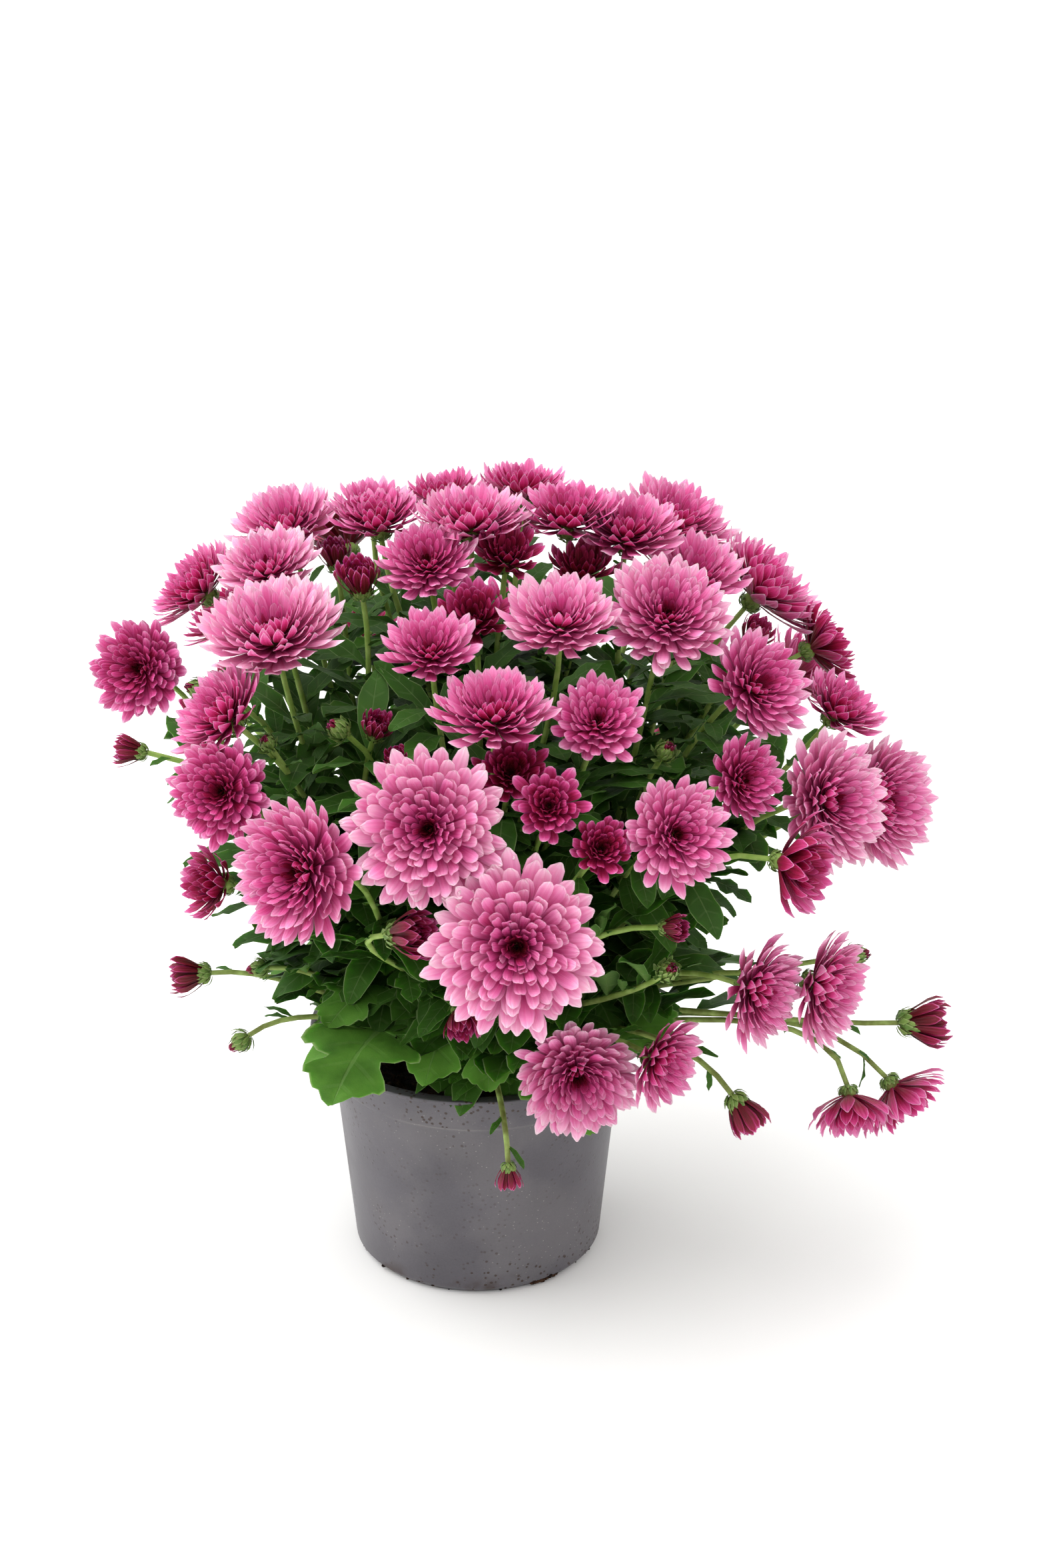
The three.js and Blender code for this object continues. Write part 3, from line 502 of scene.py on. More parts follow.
def leaf_finish():
    f = Finish("leaf")
    _, across, vein = f.attribute("blade")
    fresh, under, chance = f.attribute("leaf")
    wide = f.noise(90, 3.0)
    fine = f.noise(1500, 2.0)
    # The tone holds each leaf's own freshness and painted light: leaves low in front are given a
    # lighter green as painted light.
    tone = (fresh + 0.7 * (wide - 0.5) + 0.3 * (chance - 0.5)).clamped()
    colour = f.mix(tone, LEAF_DARK, LEAF_GREEN)
    colour = f.mix((tone - 0.55).clamped() * 2.0, colour, LEAF_FRESH_LIT)

    # The midrib, and side veins that fade before they reach the edge.
    aside = across.size()
    midrib = 1 - aside.rise(0.02, 0.07)
    side_veins = (vein * 32).sine().rise(0.8, 1) * (1 - aside.rise(0.5, 0.9))
    veins = (midrib + 0.35 * side_veins).clamped()
    colour = f.mix(veins * 0.16, colour, LEAF_EDGE)

    colour = f.mix(under * 0.7, colour, LEAF_UNDER)
    colour = f.mix(aside.rise(0.93, 1.0) * 0.45, colour, LEAF_EDGE)
    height = 0.35 * fine + 0.5 * wide - veins
    return f.surface(
        Base_Color=colour,
        Roughness=0.55 + 0.15 * fine,
        Specular_IOR_Level=0.22,
        Subsurface_Weight=0.12,
        Subsurface_Radius=(0.4, 1.0, 0.2),
        Subsurface_Scale=1.0 * MM,
        Normal=f.bump(height, 0.25 * MM, 0.7),
    )


LEAF = leaf_finish()
print("leaf finish:", len(LEAF.node_tree.nodes), "nodes")

# %% [markdown]
# ## Stalks and cups
#
# Stalks are yellower than leaves, and duller near the soil, where they turn woody. The scales of
# the cup under a flower are green with pale, papery edges, which dry to brown at the tip.

# %% Stalk and scale finishes
STALK_OLD = linear(98, 102, 50)
STALK_GREEN = linear(120, 152, 66)
STALK_PALE = linear(158, 182, 102)
WOODY = 80 * MM  # under this height a stalk is all old
GREEN = 200 * MM  # and over this one all green


def stalk_finish():
    f = Finish("stalk")
    up = f.height().rise(WOODY, GREEN)
    wide = f.noise(160, 3.0)
    fine = f.noise(2600, 2.0)
    colour = f.mix(up, STALK_OLD, STALK_GREEN)
    colour = f.mix(0.8 * wide.rise(0.35, 0.75), colour, STALK_PALE)
    return f.surface(
        Base_Color=colour,
        Roughness=0.6,
        Specular_IOR_Level=0.3,
        Subsurface_Weight=0.1,
        Subsurface_Radius=(0.5, 1.0, 0.3),
        Subsurface_Scale=1.0 * MM,
        Normal=f.bump(fine, 0.12 * MM, 0.8),
    )


SCALE_GREEN = linear(92, 124, 58)
SCALE_FRESH = linear(120, 146, 74)
SCALE_PALE = linear(158, 176, 112)
SCALE_BROWN = linear(110, 84, 52)


def scale_finish():
    f = Finish("calyx_scale")
    along, across, _ = f.attribute("petal")
    chance, _, _ = f.attribute("bloom")
    edge = (across.size().rise(0.5, 1) + along.rise(0.8, 1)).clamped()
    colour = f.mix(chance, SCALE_GREEN, SCALE_FRESH)
    colour = f.mix(edge * 0.6, colour, SCALE_PALE)
    colour = f.mix(along.rise(0.86, 1.0) * chance * 0.8, colour, SCALE_BROWN)
    height = f.noise(2400, 2.0) - 0.6 * across.size().stripe(0, 0.3)
    return f.surface(
        Base_Color=colour,
        Roughness=0.55,
        Specular_IOR_Level=0.3,
        Normal=f.bump(height, 0.15 * MM, 0.7),
    )


STALK = stalk_finish()
SCALE = scale_finish()
print("finishes of the stems:", STALK.name, SCALE.name)

# %% [markdown]
# ## The pot's plastic and the peat
#
# The pot is a thermoformed cup of recycled plastic, thinner than a millimetre and as grey as the
# mixed scrap that it is made of. Its skin is smooth enough for a soft highlight, clouded in colour
# and dirty from the greenhouse: brown crumbs of peat and pale splashes of lime cling to it.

# %% Pot finish
POT_DARK = linear(70, 67, 72)
POT_GREY = linear(90, 87, 93)
POT_DIRT = linear(52, 34, 24)
POT_LIME = linear(158, 154, 150)
POT_STEP = 77.4 * MM  # height of the step in its wall
POT_LIP = 90 * MM


def pot_finish():
    f = Finish("thin_pot_plastic")
    height = f.height()
    cloud = f.noise(38, 5.0)
    grain = f.noise(1300, 3.0)
    tone = 0.5 + 1.1 * (cloud - 0.5) + 0.6 * (grain - 0.5)
    colour = f.mix(tone.clamped(), POT_DARK, POT_GREY)

    # Splashes of lime, in patches and in a line along the step.
    patches = f.noise(26, 4.0).rise(0.44, 0.62)
    lime = f.spots(520, 0.14) * patches
    scuff = (height + 1.6 * MM * (cloud - 0.5)).stripe(POT_STEP, 1.2 * MM)
    dry = (lime * 0.55 + scuff * patches * 0.2 + 0.12 * patches).clamped()
    colour = f.mix(dry, colour, POT_LIME)

    # Crumbs of peat, most of them near the lip and the foot, and a smear on the foot.
    grubby = height.stripe(POT_LIP, 30 * MM) + height.stripe(0, 30 * MM) + 0.35
    crumbs = f.spots(430, 0.3) * f.noise(60, 2.0).rise(0.46, 0.54) * grubby
    smear = f.noise(75, 6.0).rise(0.52, 0.66) * height.stripe(0, 11 * MM)
    colour = f.mix((crumbs + smear).clamped() * 0.85, colour, POT_DIRT)
    relief = cloud * 2.0 + grain * 0.12 + crumbs * 0.8
    return f.surface(
        Base_Color=colour,
        Roughness=0.4 + 0.2 * patches,
        Specular_IOR_Level=0.45,
        Normal=f.bump(relief, 0.5 * MM, 0.35),
    )


POT = pot_finish()
print("pot finish:", len(POT.node_tree.nodes), "nodes")

# %% Peat and root finishes
PEAT_BLACK = linear(26, 18, 14)
PEAT_BROWN = linear(78, 54, 38)
PEAT_FIBRE = linear(120, 88, 60)
ROOT_DARK = linear(92, 60, 38)
ROOT_PALE = linear(156, 118, 78)


def peat_finish():
    f = Finish("damp_peat")
    lumps = f.noise(300, 6.0)
    fibres = f.noise(1400, 4.0)
    colour = f.mix(lumps.rise(0.4, 0.75), PEAT_BLACK, PEAT_BROWN)
    colour = f.mix(fibres.rise(0.62, 0.8) * 0.6, colour, PEAT_FIBRE)
    return f.surface(
        Base_Color=colour,
        Roughness=0.92,
        Specular_IOR_Level=0.2,
        Normal=f.bump(lumps + 0.5 * fibres, 1.0 * MM),
    )


def root_finish():
    f = Finish("fine_root")
    tone = f.noise(700, 3.0)
    colour = f.mix(tone, ROOT_DARK, ROOT_PALE)
    return f.surface(Base_Color=colour, Roughness=0.8, Normal=f.bump(tone, 0.2 * MM))


PEAT = peat_finish()
ROOT = root_finish()
print("finishes of the soil:", PEAT.name, ROOT.name)

# %% [markdown]
# ## Handing pieces to the model
#
# A finished mesh becomes a named object that rides on the model's one body and hides the plain
# solid that it stands for. Its object stays at the origin, so the mesh itself holds the place.


# %% Objects from meshes
def add_piece(name, mesh, finish, slot, *nodes):
    """Puts a mesh on the body, in the place of these nodes of the model."""
    mesh.materials.clear()
    mesh.materials.append(finish)
    piece = new_object(name, mesh)
    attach(piece, BODY)
    if nodes:
        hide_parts(*nodes)
    return piece


def mesh_of(bm, name, smooth=True):
    """Ends a bmesh: its mesh, shaded smooth or flat."""
    for face in bm.faces:
        face.smooth = smooth
    mesh = bpy.data.meshes.new(name)
    bm.to_mesh(mesh)
    bm.free()
    return mesh


def finished_mesh(helper):
    """The mesh of a helper object once its modifiers or its bevel are worked out."""
    bpy.context.view_layer.update()
    depsgraph = bpy.context.evaluated_depsgraph_get()
    mesh = bpy.data.meshes.new_from_object(helper.evaluated_get(depsgraph))
    bpy.data.objects.remove(helper)
    return mesh


# %% [markdown]
# ## The pot
#
# A lathe shape: its wall is drawn once as a profile, spun round the axis and given soft edges with
# a bevel. The real one is stamped from a hot sheet, so no edge on it is sharp. Six drain holes are
# cut through the floor by a Boolean with six plugs.

# %% Spin the pot
POT_HEIGHT = 94
POT_PROFILE = [
    (0, 0),
    (46, 0),
    (48.9, 3),
    (56, 77),
    (57.4, 78.2),
    (60, 91.4),
    (65, 92.4),
    (65, POT_HEIGHT),
    (60.4, POT_HEIGHT),
    (58.7, 91.4),
    (56.3, 79),
    (54.6, 76),
    (47.7, 4),
    (45, 1.8),
    (0, 1.8),
]
POT_SIDES = 96
POT_BEVEL = 0.55
DRAIN_HOLES = 6
DRAIN_RING = 36
DRAIN_RADIUS = 2.5
SAME = 1e-6  # places that are closer than this are one


def spun(profile, sides):
    """A closed lathe body from (radius, height) pairs that start and end on the axis."""
    bm = bmesh.new()
    line = [bm.verts.new((r * MM, 0, z * MM)) for r, z in profile]
    edges = [bm.edges.new(pair) for pair in zip(line, line[1:])]
    bmesh.ops.spin(
        bm,
        geom=line + edges,
        axis=UP,
        cent=(0, 0, 0),
        angle=2 * math.pi,
        steps=sides,
        use_merge=True,
    )
    bmesh.ops.remove_doubles(bm, verts=bm.verts, dist=SAME)
    bmesh.ops.recalc_face_normals(bm, faces=bm.faces)
    return bm


def ring_edges(bm):
    """The edges that run level round the axis."""
    found = []
    for edge in bm.edges:
        a, b = (v.co for v in edge.verts)
        if abs(a.z - b.z) < SAME and abs(a.xy.length - b.xy.length) < SAME:
            found.append(edge)
    return found


def drain_plugs():
    bm = bmesh.new()
    ring = DRAIN_RING * MM
    for i in range(DRAIN_HOLES):
        turn = 2 * math.pi * (i + 0.5) / DRAIN_HOLES
        bmesh.ops.create_cone(
            bm,
            cap_ends=True,
            segments=24,
            radius1=DRAIN_RADIUS * MM,
            radius2=DRAIN_RADIUS * MM,
            depth=8 * MM,
            matrix=Matrix.Translation((ring * math.cos(turn), ring * math.sin(turn), 0)),
        )
    return new_object("plugs", mesh_of(bm, "plugs", smooth=False))


def make_pot():
    bm = spun(POT_PROFILE, POT_SIDES)
    bmesh.ops.bevel(
        bm,
        geom=ring_edges(bm),
        offset=POT_BEVEL * MM,
        affect="EDGES",
        segments=3,
        profile=0.5,
        material=-1,
        clamp_overlap=True,
    )
    blank = new_object("blank", mesh_of(bm, "blank"))
    plugs = drain_plugs()
    cut = blank.modifiers.new("drains", "BOOLEAN")
    cut.operation = "DIFFERENCE"
    cut.solver = "EXACT"
    cut.object = plugs
    mesh = finished_mesh(blank)
    bpy.data.objects.remove(plugs)
    mesh.set_sharp_from_angle(angle=math.radians(50))
    return mesh


pot = add_piece("pot_shell", make_pot(), POT, "pot_plastic", "pot")
print("pot:", len(pot.data.polygons), "faces")

# %% [markdown]
# ## The peat
#
# Peat fills the pot to the band. Its top is never level: it is lumpy, and against one wall roots
# and peat are heaped where the cuttings were pushed in. A lathe body gives the fill its shape,
# noise lifts its top, and loose crumbs and a few roots lie over it.

# %% Soil body, crumbs and roots
SOIL_LEVEL = 83
SOIL_RADIUS = 56.5
SOIL_PROFILE = [(0, 2.2), (44, 2.2), (47.4, 5), (54.1, 75.8), (SOIL_RADIUS, SOIL_LEVEL)]
SOIL_RINGS = 22
SOIL_SIDES = 72
MOUND_AZIMUTH = -82
MOUND_WIDTH = 30  # degrees to the side over which it falls away
MOUND_HEIGHT = 14
MOUND_START = 32  # it rises from this radius outwards
MOUND_RUN = 22  # and has its full height after so much
FOOT_RADIUS = 46.2
FOOT_CLUMP = 34  # azimuth at which most of the peat clings to the pot's foot


def soil_rise(x, y):
    """Height of the soil over its level, at a place in millimetres."""
    lumps = 2.2 * noise.noise((x * 0.07, y * 0.07, 0.3))
    lumps += 1.4 * noise.noise((x * 0.25, y * 0.25, 5.1))
    aside = (math.degrees(math.atan2(x, -y)) - MOUND_AZIMUTH) / MOUND_WIDTH
    outward = clamp((math.hypot(x, y) - MOUND_START) / MOUND_RUN)
    return lumps + MOUND_HEIGHT * math.exp(-aside * aside) * outward * outward * (3 - 2 * outward)


def make_soil():
    """The fill. Rings over its top give the lumps enough points to lift."""
    radii = [SOIL_RADIUS * (1 - (i + 1) / SOIL_RINGS) for i in range(SOIL_RINGS)]
    bm = spun(SOIL_PROFILE + [(radius, SOIL_LEVEL) for radius in radii], SOIL_SIDES)
    for vert in bm.verts:
        x, y, z = vert.co / MM
        if z > SOIL_LEVEL - 0.01:
            vert.co.z += soil_rise(x, y) * MM
    return mesh_of(bm, "peat")


def add_crumb(bm, place, size, shape):
    """A crumb at a place in millimetres, turned and squashed by a matrix."""
    matrix = Matrix.Translation(place * MM) @ shape
    bmesh.ops.create_icosphere(bm, subdivisions=1, radius=size * MM, matrix=matrix)


def make_crumbs(count=420):
    """Crumbs of peat on the soil, many of them on the heap."""
    bm = bmesh.new()
    for i in range(count):
        heaped = draw(i, 1) < 0.45
        azimuth = MOUND_AZIMUTH + 34 * sway(i, 2) if heaped else 360 * draw(i, 2)
        radius = 46 + 10 * draw(i, 3) if heaped else 56 * math.sqrt(draw(i, 3))
        spot = direction(azimuth, 0) * radius
        size = 0.7 + 2.2 * draw(i, 4) ** 3
        lift = SOIL_LEVEL + soil_rise(spot.x, spot.y) + size * 0.2
        turn = Quaternion((draw(i, 5), sway(i, 6), sway(i, 7), sway(i, 8))).normalized()
        squash = Matrix.Diagonal((1, 0.5 + 0.5 * draw(i, 9), 0.5 + 0.4 * draw(i, 10), 1))
        add_crumb(bm, Vector((spot.x, spot.y, lift)), size, turn.to_matrix().to_4x4() @ squash)
    return mesh_of(bm, "crumbs", smooth=False)


def make_foot_crumbs(count=110):
    """Wet peat that clings to the foot of the pot."""
    bm = bmesh.new()
    for i in range(count):
        clumped = draw(i, 51) < 0.5
        azimuth = FOOT_CLUMP + 7 * sway(i, 52) if clumped else 360 * draw(i, 52)
        size = (0.3 + 0.8 * draw(i, 53) ** 2) * (1.3 if clumped else 1)
        height = size * 0.8 + 2.4 * draw(i, 54) ** 2
        spot = direction(azimuth, 0) * (FOOT_RADIUS + 0.9 * height)
        squash = Matrix.Diagonal((1, 0.6 + 0.4 * draw(i, 55), 0.5 + 0.3 * draw(i, 56), 1))
        add_crumb(bm, Vector((spot.x, spot.y, height)), size, squash)
    return mesh_of(bm, "foot_crumbs", smooth=False)


# %% [markdown]
# ## Roots
#
# Fine roots lie on the heap. Each one is a curve of five points that wanders a few steps, and a
# round bevel gives it its thickness. The same two helpers make the stalks later.

# %% Roots over the heap
ROOT_REACH = 55  # roots stay within this radius
ROOT_STEP = 3.2


def new_curve(name, steps, roundness):
    """An empty curve with a round bevel, whose points say how thick it is."""
    curve = bpy.data.curves.new(name, "CURVE")
    curve.dimensions = "3D"
    curve.resolution_u = steps
    curve.bevel_depth = 1
    curve.bevel_resolution = roundness
    curve.use_fill_caps = True
    return curve


def curve_mesh(curve):
    mesh = finished_mesh(new_object("holder", curve))
    mesh.shade_smooth()
    return mesh


def make_roots(count=46):
    curve = new_curve("roots", 3, 1)
    for i in range(count):
        azimuth, radius = MOUND_AZIMUTH + 30 * sway(i, 21), 48 + 7 * draw(i, 22)
        x, y, _ = direction(azimuth, 0) * radius
        heading = 360 * draw(i, 23)
        spline = curve.splines.new("NURBS")
        spline.points.add(4)
        spline.use_endpoint_u = True
        spline.order_u = 3
        for k, point in enumerate(spline.points):
            z = SOIL_LEVEL + soil_rise(x, y) + 1.1 * math.sin(2.2 * k + i) + 0.5
            point.co = (x * MM, y * MM, z * MM, 1)
            point.radius = (0.42 - 0.06 * k) * MM
            heading += 50 * sway(i, 30 + k)
            x += ROOT_STEP * math.sin(math.radians(heading))
            y += ROOT_STEP * math.cos(math.radians(heading))
            reach = math.hypot(x, y)
            if reach > ROOT_REACH:
                x, y = x * ROOT_REACH / reach, y * ROOT_REACH / reach
    return curve_mesh(curve)


soil = add_piece("peat_fill", make_soil(), PEAT, "peat_soil", "soil")
roots = add_piece("fine_roots", make_roots(), ROOT, "peat_soil")
crumbs = add_piece("peat_crumbs", make_crumbs(), PEAT, "peat_soil")
add_piece("peat_on_foot", make_foot_crumbs(), PEAT, "peat_soil")
print("faces of peat, crumbs, roots:", [len(o.data.polygons) for o in (soil, crumbs, roots)])

# %% [markdown]
# ## Blades: one way to make petals, scales and leaves
#
# Petals, the scales of a calyx and leaves are all thin blades. Each one starts as a flat grid with
# a second grid under it, welded at the rim, so that it is closed. A bloom's blades are copied from
# that one flat blade, and then all of their points are moved at once, by arithmetic on arrays, to
# each petal's own curve. That gives every petal its own shape at little cost.


# %% The flat blade and its copies
def flat_blade(name, columns, rows):
    """Closed blade on the square x -1..1, y 0..1. The inner points of its lower face have z -1."""
    bm = bmesh.new()
    bmesh.ops.create_grid(bm, x_segments=columns, y_segments=rows, size=1)
    to_square = Matrix.Diagonal((1, 0.5, 1, 1)) @ Matrix.Translation((0, 1, 0))
    bmesh.ops.transform(bm, matrix=to_square, verts=bm.verts)
    upper = bm.verts[:] + bm.edges[:] + bm.faces[:]
    lower = bmesh.ops.duplicate(bm, geom=upper)["geom"]
    lower_faces = [part for part in lower if isinstance(part, bmesh.types.BMFace)]
    lower_verts = [part for part in lower if isinstance(part, bmesh.types.BMVert)]
    inside = [vert for vert in lower_verts if not on_rim(vert.co)]
    bmesh.ops.reverse_faces(bm, faces=lower_faces)
    bmesh.ops.remove_doubles(bm, verts=[v for v in bm.verts if on_rim(v.co)], dist=1e-4)
    bm.normal_update()
    for edge in bm.edges:
        edge.smooth = edge.link_faces[0].normal.dot(edge.link_faces[1].normal) > 0
    for vert in inside:
        vert.co.z = -1
    return mesh_of(bm, name)


def on_rim(place):
    return abs(place.x) > 0.999 or place.y < 0.001 or place.y > 0.999


def blades(name, flat, count):
    """One mesh of so many flat blades, and the across, along and under of a blade's points."""
    bm = bmesh.new()
    for _ in range(count):
        bm.from_mesh(flat)
    points = np.empty(len(flat.vertices) * 3)
    flat.vertices.foreach_get("co", points)
    across, along, under = points.reshape(-1, 3).T
    return mesh_of(bm, name), across, along, -under


def column(values):
    """One value for each blade, shaped to meet arrays that hold one for each point of a blade."""
    return np.array(values)[:, None]


def keep(mesh, name, *values):
    """Stores three values for every point of a mesh, for the finish to read."""
    table = np.stack(np.broadcast_arrays(*values), axis=-1)
    attribute = mesh.attributes.new(name, "FLOAT_VECTOR", "POINT")
    attribute.data.foreach_set("vector", table.astype(np.float32).ravel())


PETAL_BLADE = flat_blade("flat_petal", 4, 6)
YOUNG_BLADE = flat_blade("flat_young_petal", 2, 5)
SCALE_BLADE = flat_blade("flat_scale", 2, 3)
FLAT_BLADES = (PETAL_BLADE, YOUNG_BLADE, SCALE_BLADE)
print("faces of the flat blades:", {mesh.name: len(mesh.polygons) for mesh in FLAT_BLADES})

# %% [markdown]
# ## A head of petals
#
# Petals leave a small domed disc in a spiral, each one turned by the golden angle from the last, as
# the plant itself does it. The laws below say, for the innermost petal to the outermost, where its
# root and tip are, how far it bulges outwards on the way, how wide it is and how deeply it is
# cupped. Lengths are shares of the head's radius, the bulge is a share of the petal's length and
# the cup one of its half width. A full-blown head is a dome of many whorls, and a young one is
# still a funnel.

# %% Laws of the heads
GOLDEN_ANGLE = math.radians(137.508)
BLADE_COUNTS = {
    "large": 188,
    "full": 138,
    "mid": 104,
    "small": 64,
    "tuft": 48,
    "bud": 14,
    "calyx": 30,
    "bud_scales": 34,
    "tuft_scales": 28,
}
# Place in the spiral; root radius and height; tip radius and height; bulge; half width; cup.
HEAD_LAWS = {
    "large": [
        (0.00, 0.00, 0.12, 0.01, 0.28, 0.02, 0.028, 0.3),
        (0.05, 0.03, 0.14, 0.09, 0.38, 0.06, 0.030, 0.3),
        (0.12, 0.05, 0.16, 0.18, 0.53, 0.10, 0.040, 0.4),
        (0.28, 0.08, 0.16, 0.38, 0.62, 0.13, 0.056, 0.45),
        (0.50, 0.11, 0.13, 0.61, 0.57, 0.14, 0.074, 0.5),
        (0.76, 0.14, 0.08, 0.84, 0.44, 0.11, 0.090, 0.4),
        (1.00, 0.15, 0.02, 1.00, 0.22, 0.05, 0.100, 0.35),
    ],
    "full": [
        (0.00, 0.00, 0.12, 0.01, 0.28, 0.02, 0.034, 0.3),
        (0.06, 0.03, 0.14, 0.10, 0.38, 0.06, 0.036, 0.3),
        (0.14, 0.05, 0.16, 0.19, 0.54, 0.11, 0.048, 0.4),
        (0.33, 0.08, 0.16, 0.42, 0.63, 0.13, 0.068, 0.45),
        (0.60, 0.12, 0.12, 0.70, 0.53, 0.12, 0.088, 0.5),
        (0.84, 0.14, 0.06, 0.89, 0.42, 0.10, 0.102, 0.4),
        (1.00, 0.15, 0.00, 1.00, 0.27, 0.08, 0.110, 0.35),
    ],
    "mid": [
        (0.00, 0.00, 0.12, 0.01, 0.28, 0.02, 0.038, 0.3),
        (0.08, 0.03, 0.14, 0.11, 0.40, 0.06, 0.044, 0.3),
        (0.20, 0.06, 0.15, 0.25, 0.58, 0.10, 0.060, 0.4),
        (0.45, 0.09, 0.14, 0.50, 0.64, 0.11, 0.086, 0.45),
        (0.72, 0.13, 0.09, 0.78, 0.54, 0.10, 0.110, 0.5),
        (1.00, 0.15, 0.00, 1.00, 0.34, 0.10, 0.120, 0.4),
    ],
    "small": [
        (0.00, 0.00, 0.10, 0.01, 0.28, 0.02, 0.048, 0.3),
        (0.10, 0.03, 0.12, 0.12, 0.46, 0.04, 0.056, 0.4),
        (0.25, 0.07, 0.12, 0.24, 0.68, 0.05, 0.080, 0.5),
        (0.50, 0.10, 0.11, 0.45, 0.80, 0.08, 0.112, 0.5),
        (0.75, 0.13, 0.08, 0.74, 0.74, 0.12, 0.138, 0.5),
        (1.00, 0.15, 0.02, 1.00, 0.50, 0.14, 0.150, 0.4),
    ],
    "tuft": [
        (0.00, 0.05, 0.35, 0.06, 1.20, 0.04, 0.110, 0.7),
        (0.35, 0.14, 0.30, 0.32, 1.50, 0.06, 0.150, 0.6),
        (0.70, 0.24, 0.25, 0.62, 1.60, 0.10, 0.180, 0.5),
        (1.00, 0.30, 0.20, 0.94, 1.42, 0.14, 0.190, 0.4),
    ],
    "bud": [
        (0.00, 0.10, 0.60, 0.05, 1.72, 0.05, 0.120, 0.9),
        (1.00, 0.30, 0.60, 0.28, 1.80, 0.12, 0.180, 0.8),
    ],
    # Scales of the cup under an open bloom, and of a bud, which they still cover.
    "calyx": [
        (0.00, 0.62, 0.30, 1.10, 1.10, 0.20, 0.20, 0.5),
        (0.50, 0.50, 0.12, 1.12, 0.82, 0.26, 0.20, 0.5),
        (1.00, 0.36, -0.10, 1.20, 0.42, 0.20, 0.18, 0.4),
    ],
    "bud_scales": [
        (0.00, 0.30, 0.50, 0.30, 1.80, 0.40, 0.24, 0.5),
        (0.45, 0.30, 0.20, 0.78, 1.50, 0.34, 0.24, 0.5),
        (0.80, 0.28, 0.00, 1.14, 1.02, 0.26, 0.22, 0.4),
        (1.00, 0.24, -0.14, 1.36, 0.56, 0.16, 0.20, 0.3),
    ],
    "tuft_scales": [
        (0.00, 0.26, 0.20, 0.46, 0.80, 0.20, 0.13, 0.5),
        (0.50, 0.22, 0.05, 0.52, 0.54, 0.24, 0.14, 0.5),
        (1.00, 0.16, -0.12, 0.62, 0.26, 0.24, 0.13, 0.4),
    ],
}
LAW_NAMES = ("root_r", "root_z", "tip_r", "tip_z", "bulge", "half", "cup")
print("petals of a head:", BLADE_COUNTS)

# %% [markdown]
# ## From the laws to points
#
# First every petal of a head gets its own law: the one of its place in the spiral, a little varied
# by draws. Then all points of the head move at once. A point's place along the midrib, which is a
# quadratic curve from root to tip, comes first. Its place across the petal, which is cupped,
# twisted and rounded like a finger nail, is added to that.

# %% Curve the petals of a head
STRAP = 4 / 6  # share of a blade's rows on its long part; the others go round the tip
TIP_LENGTH = 2.1  # length of the rounded tip, in half widths
TIP_ARC = 1.2  # radians of the round that the last rows cover
ROOT_WIDTH = 0.36  # width of a petal at its root, as a share of its full width
BROADEST = 0.66  # place along a petal where it has its full width
# How far draws take a petal from its law: its reach and width as shares, its tip's height and its
# lean as shares of the head's radius, its turn and twist in radians.
WOBBLE = {"reach": 0.08, "height": 0.045, "turn": 0.1, "twist": 0.24, "lean": 0.045, "width": 0.14}
CURL = (-0.02, 0.1)  # least and most that the tip curls up


def head_petals(form, seed):
    """The law of every petal of a head."""
    count = BLADE_COUNTS[form]
    rng = np.random.default_rng(seed)

    def wobble(name):
        return rng.uniform(-WOBBLE[name], WOBBLE[name], count)

    petals = SimpleNamespace(spiral=(np.arange(count) + 0.5) / count)
    law = np.array(HEAD_LAWS[form]).T
    for name, values in zip(LAW_NAMES, law[1:]):
        setattr(petals, name, np.interp(petals.spiral, law[0], values))
    reach = 1 + wobble("reach")
    petals.tip_r = petals.tip_r * reach
    petals.tip_z = petals.tip_z * reach + wobble("height")
    petals.turn = GOLDEN_ANGLE * np.arange(count) + wobble("turn")
    petals.twist = wobble("twist")
    petals.lean = wobble("lean")
    petals.half = petals.half * (1 + wobble("width"))
    petals.curl = rng.uniform(*CURL, count)
    petals.chance = rng.random(count)
    return petals


def petal_places(petals, chord, across, along):
    """How far along its petal each point is, and at which angle of the rounded tip."""
    zone = column(np.clip(TIP_LENGTH * petals.half / chord, 0.1, 0.42))
    rounded = np.clip((along - STRAP) / (1 - STRAP), 0, 1)
    arc = TIP_ARC * rounded
    v = np.minimum(along / STRAP, 1) * (1 - zone) + zone * np.sin(arc)
    return v + zone * (1 - math.sin(TIP_ARC)) * rounded * (1 - across**2), arc


def bend(v, a, b, c):
    """Points at v on quadratic curves from a to c that b pulls aside."""
    return (1 - v) ** 2 * column(a) + 2 * v * (1 - v) * column(b) + v**2 * column(c)


def slope(v, a, b, c):
    return 2 * (1 - v) * column(b - a) + 2 * v * column(c - b)


